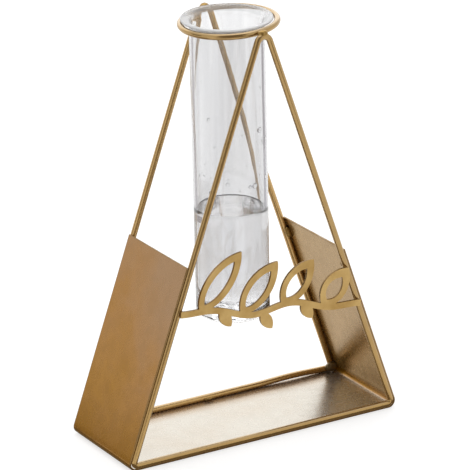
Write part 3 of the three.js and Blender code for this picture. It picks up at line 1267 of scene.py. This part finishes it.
    def add_plate(self, plates: Drawing, drawing: Drawing) -> None:
        """Adds a closed plate as thick as the CAD ornament.

        Args:
            plates: Points and faces of all plates, added to.
            drawing: Points as X and Z and cells of the new one.
        """
        points, faces = plates
        outline, cells = drawing
        low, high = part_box("vine_ornament")
        seen: dict[Face, int] = {}
        numbers: list[int] = []
        for point in outline:
            key = tuple(round(value * self.keys_per_metre) for value in point)
            if key not in seen:
                seen[key] = len(points)
                points += [Vector((point.x, depth, point.y)) for depth in (low.y, high.y)]
            numbers.append(seen[key])
        walls: dict[frozenset[int], Face] = {}
        for cell in cells:
            loop = [n for i, n in enumerate(numbers[c] for c in cell) if n != numbers[cell[i - 1]]]
            if len(loop) < FEWEST_CORNERS:
                continue
            faces += [tuple(loop), tuple(n + 1 for n in reversed(loop))]
            for start, end in zip(loop, loop[1:] + loop[:1]):
                pair = frozenset((start, end))
                if walls.pop(pair, None) is None:
                    walls[pair] = (start, end)
        faces += [(end, start, start + 1, end + 1) for start, end in walls.values()]


@dataclass
class WeldBeads:
    """Weld beads that hold the wires, the sheet, the ring and the ornament together."""

    lines: StandLines
    finish: Material
    tack: Size = (2.6 * MM, 1.1 * MM, 1.3 * MM)
    corner_stretch: Size = (1.25, 0.8, 0.95)
    base_stretch: Size = (0.8, 0.5, 0.5)
    apex_stretch: Size = (0.82, 1.7, 1.05)
    apex_shift: Point = (1.2 * MM, 0.4 * MM)
    ripple: float = 0.5 * MM
    ripple_size: float = 1.3 * MM
    fineness: int = 4

    def build(self) -> None:
        """Makes all beads as one piece of the stand."""
        nodes = sorted(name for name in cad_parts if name.endswith("_weld"))
        boxes = [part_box(node) for node in nodes]
        centres = [self.seat_of(node, (low + high) / 2) for node, (low, high) in zip(nodes, boxes)]
        seats = mesh_object("weld_beads", centres, [])
        set_attributes(
            seats,
            bead_size=[self.size_of(node, (high - low) / 2) for node, (low, high) in zip(nodes, boxes)],
            bead_turn=[(0.0, self.turn_of(node), 0.0) for node in nodes],
            scorch=[1.0 if "corner" in node else 0.0 for node in nodes],
        )
        ripples = {"Ripple": self.ripple, "Ripple Size": self.ripple_size}
        sizes = {"Fineness": self.fineness, "Finish": self.finish, **ripples}
        finish_piece(grow(seats, self.bead_tree(), sizes), Body.STAND, nodes)

    def bead_tree(self) -> NodeTree:
        """Builds the tree that sets a rippled bead on each point.

        Returns:
            The tree.
        """
        tree, given = start_tree(
            "weld_beads", "Seats", {"Fineness": "Int", "Ripple": "Float", "Ripple Size": "Float"}
        )
        round_bead = {"Radius": 1.0, "Subdivisions": given["Fineness"]}
        ball = add_node(tree, "GeometryNodeMeshIcoSphere", round_bead)
        size, turn = (
            add_node(tree, "GeometryNodeInputNamedAttribute", {"Name": name}, data_type="FLOAT_VECTOR")
            for name in ("bead_size", "bead_turn")
        )
        turned_by = add_node(tree, "FunctionNodeEulerToRotation", (turn,))
        beads = add_node(
            tree, "GeometryNodeInstanceOnPoints",
            {"Points": given["Seats"], "Instance": ball, "Rotation": turned_by, "Scale": size},
        )
        real = add_node(tree, "GeometryNodeRealizeInstances", {0: beads})
        scale = add_node(tree, "ShaderNodeMath", (1.0, given["Ripple Size"]), operation="DIVIDE")
        place, normal = (add_node(tree, f"GeometryNodeInput{kind}") for kind in ("Position", "Normal"))
        ripples = add_node(tree, "ShaderNodeTexNoise", {"Vector": place, "Scale": scale})
        centred = add_node(tree, "ShaderNodeMath", (ripples, 0.5), operation="SUBTRACT")
        depth = add_node(tree, "ShaderNodeMath", (centred, given["Ripple"]), operation="MULTIPLY")
        shift = add_node(tree, "ShaderNodeVectorMath", {0: normal, "Scale": depth}, operation="SCALE")
        lumpy = add_node(tree, "GeometryNodeSetPosition", {0: real, "Offset": shift})
        return end_tree(tree, lumpy, given["Finish"])

    def seat_of(self, node: str, centre: Vector) -> Vector:
        """Gives the middle of a bead; those at the apexes stand up and out over the wire.

        Args:
            node: CAD node of the bead.
            centre: Middle of the CAD bead.

        Returns:
            Middle of the drawn bead.
        """
        if "apex" not in node:
            return centre
        return centre + Vector((0, math.copysign(self.apex_shift[0], centre.y), self.apex_shift[1]))

    def turn_of(self, node: str) -> float:
        """Gives the turn about Y that lays the bead of a node along its leg."""
        turns = {"left_wing": -self.lines.lean, "right_wing": self.lines.lean}
        return next((turn for part, turn in turns.items() if part in node), 0.0)

    def size_of(self, node: str, half: Vector) -> Vector:
        """Gives the half sizes of a bead before it is turned.

        Args:
            node: CAD node of the bead.
            half: Half sizes of the CAD bead's box.

        Returns:
            Half sizes along the bead, across it and away from its seat.
        """
        if "wing" in node:
            return Vector(self.tack)
        stretches = {"corner": self.corner_stretch, "apex": self.apex_stretch, "base": self.base_stretch}
        return next((half * Vector(stretch) for part, stretch in stretches.items() if part in node), half)


@dataclass(frozen=True)
class TubeLines:
    """Turned shape of the glass tube and how it hangs."""

    diameter: float = 30 * MM
    wall: float = 1.5 * MM
    length: float = 124.5 * MM
    floor: float = 4 * MM
    foot_round: float = 3.2 * MM
    inner_round: float = 4 * MM
    lip: float = 1 * MM
    lean: float = math.radians(1)
    station_gap: float = 2 * MM
    floor_gap: float = 0.45 * MM
    arc_steps: int = 10

    @property
    def radius(self) -> float:
        """Outer radius of the tube."""
        return self.diameter / 2

    @property
    def bore(self) -> float:
        """Inner radius of the tube."""
        return self.radius - self.wall

    def profile(self) -> list[Point]:
        """Gives the outline from the middle of the underside round the lip to the middle of the floor.

        Returns:
            Radius and height of each point.
        """
        bead = self.lip / 2
        lip_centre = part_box("glass_tube")[1].y - bead
        flare = lip_centre - self.radius
        lip_low = self.length - self.lip
        start = lip_low - flare
        foot = self.radius - self.foot_round
        inner = self.bore - self.inner_round
        inner_top = self.floor + self.inner_round
        inner_flare = (lip_centre - self.bore, flare + self.lip)
        floor_steps = round(foot / self.floor_gap)
        wall_steps = round(start / self.station_gap)
        return joined([
            run((0, 0), (foot, 0), floor_steps),
            arc((foot, self.foot_round), (self.foot_round,) * 2, -QUARTER, 0, self.arc_steps),
            run((self.radius, self.foot_round), (self.radius, start), wall_steps),
            arc((lip_centre, start), (flare, flare), 2 * QUARTER, QUARTER, self.arc_steps),
            arc((lip_centre, lip_low + bead), (bead, bead), -QUARTER, QUARTER, self.arc_steps),
            arc((lip_centre, start), inner_flare, QUARTER, 2 * QUARTER, self.arc_steps),
            run((self.bore, start), (self.bore, inner_top), wall_steps),
            arc((inner, inner_top), (self.inner_round,) * 2, 0, -QUARTER, self.arc_steps),
            run((inner, self.floor), (0, self.floor), floor_steps),
        ])

    def placement(self) -> Matrix:
        """Leans the tube and hangs it where the CAD tube hangs.

        Returns:
            The matrix that does so.
        """
        radii, heights = np.array(self.profile()).T
        cos, sin = math.cos(self.lean), math.sin(self.lean)
        left, right = (-radii * cos - heights * sin).min(), (radii * cos - heights * sin).max()
        bottom, top = (heights * cos - radii * sin).min(), (heights * cos + radii * sin).max()
        low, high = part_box("glass_tube")
        middle = (low + high) / 2
        shift = Vector((middle.x - (left + right) / 2, middle.y, middle.z - (bottom + top) / 2))
        return Matrix.Translation(shift) @ Matrix.Rotation(-self.lean, 4, "Y")


@dataclass
class GlassTube:
    """Flared glass tube with a lumpy pressed foot."""

    lines: TubeLines
    finish: Material
    segments: int = 160
    waver: float = 0.05 * MM
    waver_size: float = 16 * MM
    waver_stretch: float = 3.0
    lump: float = 0.55 * MM
    lump_size: float = 2.8 * MM
    lump_share: float = 0.6
    foot_power: int = 4
    # Painted highlight on the lip: how deep it reaches, how fast it grows and the side it is full on.
    painted_lip_depth: float = 2.8 * MM
    painted_lip_gain: float = 1.8
    painted_lip_side: Point = (-0.52, -0.85)
    clear_foot: float = 12 * MM

    def build(self) -> None:
        """Makes the tube and puts it on its own body."""
        points, faces = turned(self.lines.profile(), self.segments)
        place = self.lines.placement()
        shaped = [place @ self.shaped(point) for point in points]
        piece = mesh_object("glass_tube_looks", shaped, faces, self.finish)
        rims = [self.rim_at(point) for point in points]
        skins = [self.skin_at(point) * (1 - rim) for point, rim in zip(points, rims)]
        set_attributes(piece, rim=rims, skin=skins)
        face_outwards(piece.data)
        finish_piece(piece, Body.TUBE, ["glass_tube"])

    def rim_at(self, point: Vector) -> float:
        """Gives the painted lip highlight, full on the front-left of the lip, none on the other side or
        below it.

        Args:
            point: Point of the upright tube.

        Returns:
            From 0 for clear to 1 for the full painted highlight.
        """
        depth = self.lines.length - point.z
        outward = Vector((point.x, point.y))
        side = outward.dot(Vector(self.painted_lip_side)) / max(outward.length, self.lines.lip)
        return (0.5 + 0.5 * side) * min(1.0, max(0.0, self.painted_lip_gain * (1 - depth / self.painted_lip_depth)))

    def skin_at(self, point: Vector) -> float:
        """Gives how much of the grey skin there is, which lies on the outside and fades at the clear foot.

        Args:
            point: Point of the upright tube.

        Returns:
            From 0 for none to 1 for full.
        """
        reach = Vector((point.x, point.y)).length
        outside = reach > self.lines.bore + self.lines.wall / 2 or point.z < self.lines.floor / 2
        return min(1.0, point.z / self.clear_foot) if outside else 0.0

    def shaped(self, point: Vector) -> Vector:
        """Gives a point of the tube its place in glass that was drawn and pressed by hand.

        Args:
            point: Point of the true shape.

        Returns:
            The point in the wavering wall, the lumpy floor or the lumpy foot.
        """
        lines = self.lines
        outward = Vector((point.x, point.y, 0))
        reach = outward.length
        if reach > lines.bore - lines.inner_round / 2 and point.z > lines.floor:
            stretched = Vector((point.x, point.y, point.z / self.waver_stretch)) / self.waver_size
            return point + outward.normalized() * self.waver * noise.noise(stretched)
        bump = noise.noise(point / self.lump_size)
        if point.z >= lines.floor / 2:
            middle = max(0.0, 1 - (point.z - lines.floor) / lines.inner_round)
            return point + Vector((0, 0, self.lump * middle * bump))
        foot = max(0.0, 1 - (reach / (lines.radius - lines.foot_round)) ** self.foot_power)
        return point + Vector((0, 0, self.lump * foot * self.lump_share * (1 + bump)))


@dataclass
class Water:
    """Water in the tube, with a meniscus that climbs the glass."""

    lines: TubeLines
    finish: Material
    level: float = 93.3 * MM
    overlap: float = 0.15 * MM
    floor_overlap: float = 0.7 * MM
    climb: float = 0.25 * MM
    climb_reach: float = 0.45 * MM
    segments: int = 128
    wall_steps: int = 24
    surface_steps: int = 72

    def build(self) -> None:
        """Makes the water and puts it on the tube's body."""
        place = self.lines.placement()
        depth = self.level - place.translation.z
        edge = self.lines.bore + self.overlap
        bottom = self.lines.floor - self.floor_overlap
        bend = self.lines.inner_round + self.floor_overlap - self.overlap
        flat, rise = edge - bend, bottom + bend
        profile = joined([
            run((0, bottom), (flat, bottom), self.wall_steps),
            arc((flat, rise), (bend, bend), -QUARTER, 0, self.lines.arc_steps),
            run((edge, rise), (edge, depth), self.wall_steps),
            run((edge, depth), (0, depth), self.surface_steps),
        ])
        points, faces = turned(profile, self.segments)
        shaped = [self.shaped(place @ point, point, depth) for point in points]
        piece = mesh_object("water", shaped, faces, self.finish)
        face_outwards(piece.data)
        finish_piece(piece, Body.TUBE)

    def shaped(self, hung: Vector, upright: Vector, depth: float) -> Vector:
        """Levels the surface and lifts its edge.

        Args:
            hung: The point in the hanging tube.
            upright: The same point in an upright tube.
            depth: Height of the surface in the upright tube.

        Returns:
            The point in its place.
        """
        if upright.z < depth - LEVEL_GAP:
            return hung
        from_wall = max(0.0, self.lines.bore - Vector((upright.x, upright.y)).length)
        return Vector((hung.x, hung.y, self.level + self.climb * math.exp(-from_wall / self.climb_reach)))


@dataclass
class Droplets:
    """Small drops left on the inside of the glass above the water."""

    lines: TubeLines
    water: Water
    finish: Material
    top: float = 150 * MM
    density: float = 26000.0
    dry_share: float = 0.06
    radii: Point = (0.25 * MM, 1.3 * MM)
    rarity: float = 3.0
    flatness: float = 0.45
    drop_segments: int = 8
    drop_rings: int = 5
    seed: int = 7
    segments: int = 64
    rows: int = 30

    def build(self) -> None:
        """Makes the drops and puts them on the tube's body."""
        place = self.lines.placement()
        foot = place.translation.z
        heights = (self.water.level + self.water.climb - foot, self.top - foot)
        points, wetness = [], []
        for row in range(self.rows + 1):
            share = row / self.rows
            ring = level_ring(self.lines.bore, between(heights, share), self.segments)
            points += [place @ point for point in ring]
            wetness += [(1 - share) ** 2 + self.dry_share] * self.segments
        faces = grid_faces(self.rows + 1, self.segments, closed=True)
        # The wall's faces look inwards, where the drops stand.
        wall = mesh_object("droplets", points, [(face[0], *face[:0:-1]) for face in faces])
        set_attributes(wall, wetness=wetness)
        sizes = {
            "Density": self.density, "Smallest": self.radii[0], "Largest": self.radii[1],
            "Flatness": self.flatness, "Seed": self.seed, "Finish": self.finish,
        }
        finish_piece(grow(wall, self.drop_tree(), sizes), Body.TUBE)

    def drop_tree(self) -> NodeTree:
        """Builds the tree that scatters flat drops over a wall, with few large ones among them.

        Returns:
            The tree.
        """
        lengths = dict.fromkeys(("Density", "Smallest", "Largest", "Flatness"), "Float")
        tree, given = start_tree("drops_on_wall", "Wall", {**lengths, "Seed": "Int"})
        wet = add_node(tree, "GeometryNodeInputNamedAttribute", {"Name": "wetness"}, data_type="FLOAT")
        dense = add_node(tree, "ShaderNodeMath", (wet, given["Density"]), operation="MULTIPLY")
        spots = add_node(
            tree, "GeometryNodeDistributePointsOnFaces",
            {"Mesh": given["Wall"], "Density": dense, "Seed": given["Seed"]}, "Points",
            distribute_method="RANDOM",
        )
        ball = {"Segments": self.drop_segments, "Rings": self.drop_rings, "Radius": 1.0}
        drop = add_node(tree, "GeometryNodeMeshUVSphere", ball)
        draw = {"Seed": given["Seed"]}
        chance = add_node(tree, "FunctionNodeRandomValue", draw, RANDOM_NUMBER, data_type="FLOAT")
        skew = add_node(tree, "ShaderNodeMath", (chance, self.rarity), operation="POWER")
        reach = {"Value": skew, "To Min": given["Smallest"], "To Max": given["Largest"]}
        size = add_node(tree, "ShaderNodeMapRange", reach)
        height = add_node(tree, "ShaderNodeMath", (size, given["Flatness"]), operation="MULTIPLY")
        scale = add_node(tree, "ShaderNodeCombineXYZ", (size, size, height))
        turn = spots.node.outputs["Rotation"]
        drops = add_node(
            tree, "GeometryNodeInstanceOnPoints",
            {"Points": spots, "Instance": drop, "Rotation": turn, "Scale": scale},
        )
        return end_tree(tree, drops, given["Finish"])


@dataclass(frozen=True)
class Softbox:
    """Soft studio lamp that faces the vase, placed by its bearing and elevation."""

    name: str
    radiance: float
    towards: Point
    distance: float
    size: Point

    def hang(self, aim: Vector) -> None:
        """Hangs the lamp.

        Args:
            aim: The point that it faces.
        """
        lamp = bpy.data.lights.new(self.name, "AREA")
        lamp.shape = "RECTANGLE"
        lamp.size, lamp.size_y = self.size
        lamp.energy = self.radiance * math.pi * self.size[0] * self.size[1]
        hung = link_object(self.name, lamp)
        hung.matrix_world = facing(aim, self.towards, self.distance)
        hung.visible_camera = False


@dataclass(frozen=True)
class Card:
    """Studio card that only one kind of ray sees, in reflections or through glass."""

    name: str
    colour: str
    radiance: float

    def corners(self, aim: Vector) -> list[Vector]:
        """Gives the corners of the card, which lies round a point."""
        raise NotImplementedError

    def hang(self, aim: Vector, seen_by: Ray) -> None:
        """Sets the card up.

        Args:
            aim: The point that the studio is set up round.
            seen_by: The kind of ray that sees it.
        """
        corners = self.corners(aim)
        card = mesh_object(self.name, corners, [range(len(corners))], self.paper())
        for ray in Ray:
            setattr(card, f"visible_{ray.value}", ray is seen_by)

    def paper(self) -> Material:
        """Builds the card's even glow.

        Returns:
            Its material.
        """
        material = bpy.data.materials.new(f"{self.name}_paper")
        tree = bare_tree(material)
        light = {"Color": linear(self.colour), "Strength": self.radiance}
        glow = add_node(tree, "ShaderNodeEmission", light)
        add_node(tree, "ShaderNodeOutputMaterial", {"Surface": glow})
        material.cycles.emission_sampling = "NONE"
        return material


@dataclass(frozen=True)
class Flag(Card):
    """Card that stands and faces the vase, placed by its bearing and elevation."""

    towards: Point
    distance: float
    size: Point

    def corners(self, aim: Vector) -> list[Vector]:
        """Gives the corners of the card, which faces a point.

        Args:
            aim: The point.

        Returns:
            The four corners in order.
        """
        place = facing(aim, self.towards, self.distance)
        width, height = self.size
        signs = [(-1, -1), (1, -1), (1, 1), (-1, 1)]
        return [place @ Vector((x * width / 2, y * height / 2, 0)) for x, y in signs]


@dataclass(frozen=True)
class FloorShade(Card):
    """Card that lies on the floor as part of a ring round the vase."""

    bearings: Point
    radii: Point
    lift: float = 0.2 * MM
    steps: int = 24

    def corners(self, aim: Vector) -> list[Vector]:
        """Gives the corners of the part of the ring.

        Args:
            aim: The point above the ring's middle.

        Returns:
            The near arc and then the far arc, back to the start.
        """
        middle = Vector((aim.x, aim.y, self.lift))
        ways = [heading(bearing, 0) for bearing in np.linspace(*self.bearings, self.steps + 1)]
        near, far = ([middle + way * radius for way in ways] for radius in self.radii)
        return near + far[::-1]


@dataclass(frozen=True)
class ContactShade(Card):
    """Dark floor close round the base, where the vase keeps the light off."""

    margin: float
    drop: float = 0.05 * MM

    def corners(self, aim: Vector) -> list[Vector]:
        """Gives the corners of the shade, a little larger than the CAD model seen from above.

        Args:
            aim: The point that the studio is set up round, which doesn't matter here.

        Returns:
            The four corners in order.
        """
        (left, front, _), (right, rear, _) = CAD_BOX
        xs, ys = (left - self.margin, right + self.margin), (front - self.margin, rear + self.margin)
        return [Vector((xs[i], ys[j], -self.drop)) for i, j in ((0, 0), (1, 0), (1, 1), (0, 1))]


@dataclass
class Studio:
    """White sweep, soft lamps, grey cards and the camera."""

    azimuth: float = math.radians(-31.227)
    elevation: float = math.radians(20.193)
    roll: float = math.radians(-0.347)
    distance: float = 1396.9 * MM
    target: Vector = field(default_factory=lambda: Vector((0.22, 0, 80.41)) * MM)
    lens: float = 266.9
    sensor: float = 36.0
    floor_radius: float = 4.0
    floor_steps: int = 96
    floor_drop: float = 0.1 * MM
    floor_glow: float = 0.64
    floor_paper: str = "#C0C0C0"
    ambient: float = 0.7
    bounces: int = 32
    softboxes: tuple[Softbox, ...] = (
        Softbox("overhead_softbox", radiance=0.9, towards=(20, 80), distance=1.1, size=(0.9, 0.9)),
        Softbox("rear_softbox", radiance=0.75, towards=(14, 28), distance=1.2, size=(2.0, 0.9)),
    )
    reflected: tuple[Card, ...] = (
        Flag("left_flag", WARM, radiance=0.15, towards=(286, 9), distance=1.2, size=(0.55, 0.6)),
        Flag("room_behind_camera", WARM, radiance=0.22, towards=(205, 33), distance=2.0, size=(2.0, 3.0)),
        FloorShade("front_floor_shade", WARM, radiance=0.3, bearings=(155, 240), radii=(0.32, 1.9)),
        FloorShade("left_floor_shade", WARM, radiance=0.35, bearings=(262, 335), radii=(0.075, 0.3)),
        ContactShade("contact_shade", WARM, radiance=0.2, margin=6 * MM),
    )
    seen_through: tuple[Card, ...] = (
        Flag("left_glass_card", COOL, radiance=0.35, towards=(301, 0), distance=1.0, size=(0.7, 1.2)),
        Flag("right_glass_card", COOL, radiance=0.35, towards=(121, 0), distance=1.0, size=(0.7, 1.2)),
        FloorShade("left_edge_shade", "#EBE3E6", radiance=0.68, bearings=(-15, 1), radii=(0.24, 0.7)),
        FloorShade("right_edge_shade", "#E8DCE6", radiance=0.4, bearings=(59, 79), radii=(0.36, 0.7)),
        FloorShade("right_low_edge_shade", "#EBE6EE", radiance=0.62, bearings=(59, 79), radii=(0.24, 0.36)),
    )

    def build(self) -> None:
        """Sets up the floor, the world, the lamps, the cards and the camera."""
        self.lay_floor()
        self.set_world()
        for softbox in self.softboxes:
            softbox.hang(self.target)
        for seen_by, cards in ((Ray.GLOSSY, self.reflected), (Ray.TRANSMISSION, self.seen_through)):
            for card in cards:
                card.hang(self.target, seen_by)
        self.set_camera()
        scene = bpy.context.scene
        scene.view_settings.view_transform = "Standard"
        scene.cycles.max_bounces = self.bounces
        scene.cycles.transmission_bounces = self.bounces

    def background_ray(self, tree: NodeTree) -> NodeSocket:
        """Gives 1 for rays that see the white background directly, in metal or through glass.

        Args:
            tree: Node tree of the floor or the world.

        Returns:
            The output with that number.
        """
        path = add_node(tree, "ShaderNodeLightPath").node.outputs
        direct = (path["Is Camera Ray"], path["Is Glossy Ray"])
        seen = add_node(tree, "ShaderNodeMath", direct, operation="MAXIMUM")
        return add_node(tree, "ShaderNodeMath", (seen, path["Is Transmission Ray"]), operation="MAXIMUM")

    def lay_floor(self) -> None:
        """Lays the white floor that keeps the vase's shadow."""
        material = bpy.data.materials.new("white_paper_sweep")
        tree = bare_tree(material)
        paper = add_node(tree, "ShaderNodeBsdfDiffuse", {"Color": linear(self.floor_paper)})
        lit = (self.background_ray(tree), self.floor_glow)
        level = add_node(tree, "ShaderNodeMath", lit, operation="MULTIPLY")
        glow = add_node(tree, "ShaderNodeEmission", {"Strength": level})
        both = add_node(tree, "ShaderNodeAddShader", (paper, glow))
        add_node(tree, "ShaderNodeOutputMaterial", {"Surface": both})
        material.cycles.emission_sampling = "NONE"
        rim = level_ring(self.floor_radius, -self.floor_drop, self.floor_steps)
        mesh_object("floor", rim, [range(self.floor_steps)], material)

    def set_world(self) -> None:
        """Makes the world white to what sees it, and plain ambient light to the floor."""
        world = bpy.data.worlds.new("white_studio")
        tree = bare_tree(world)
        levels = {"Value": self.background_ray(tree), "To Min": self.ambient, "To Max": 1.0}
        strength = add_node(tree, "ShaderNodeMapRange", levels)
        sky = add_node(tree, "ShaderNodeBackground", {"Color": linear(WHITE), "Strength": strength})
        add_node(tree, "ShaderNodeOutputWorld", {"Surface": sky})
        world.cycles.sampling_method = "NONE"
        bpy.context.scene.world = world

    def set_camera(self) -> None:
        """Sets the camera at the photograph's viewing angle."""
        back = Vector((
            math.sin(self.azimuth) * math.cos(self.elevation),
            -math.cos(self.azimuth) * math.cos(self.elevation),
            math.sin(self.elevation),
        ))
        level = Vector((math.cos(self.azimuth), math.sin(self.azimuth), 0))
        upright = back.cross(level)
        right = level * math.cos(self.roll) + upright * math.sin(self.roll)
        up = upright * math.cos(self.roll) - level * math.sin(self.roll)
        camera = bpy.data.cameras.new("photo_camera")
        camera.lens = self.lens
        camera.sensor_width = self.sensor
        placed = link_object("photo_camera", camera)
        turn = Matrix((right, up, back)).transposed().to_4x4()
        placed.matrix_world = Matrix.Translation(self.target + back * self.distance) @ turn
        bpy.context.scene.camera = placed


def main() -> None:
    """Builds the vase piece by piece, then the studio round it."""
    logging.basicConfig(level=logging.INFO, format="%(name)s %(message)s")
    stand = StandLines()
    tube = TubeLines()
    # The wires get 0.3 of the painted pale sheen on what faces up, and none of the painted underside tone.
    wire_gold = GoldLacquer(
        "gold_lacquered_iron_wire", high_tone="#B29360", middle_tone="#B6945C", low_tone="#BA985F",
        painted_sheen_share=0.3, roughness=(0.17, 0.25), metal=0.85, painted_underside_share=0.0,
    ).make()
    # Painted light: a lighter copy of the wire's gold for the rear triangle.
    painted_lighter_rear_wire_gold = GoldLacquer(
        "gold_lacquered_iron_rear_wire_painted_lighter", high_tone="#C8A56C", middle_tone="#CAA468", low_tone="#CEA869",
        painted_sheen_share=0.3, roughness=(0.2, 0.28), metal=0.8, painted_underside_share=0.0,
    ).make()
    clear_water = ClearWater().make()
    WireWork(stand, wire_gold, painted_lighter_rear_wire_gold).build()
    SheetCradle(stand, GoldLacquer().make()).build()
    VineOrnament(stand, PaleGoldLacquer().make()).build()
    WeldBeads(stand, WeldMetal().make()).build()
    GlassTube(tube, SodaGlass().make()).build()
    water = Water(tube, clear_water)
    water.build()
    Droplets(tube, water, clear_water).build()
    Studio().build()


if __name__ == "__main__":
    main()
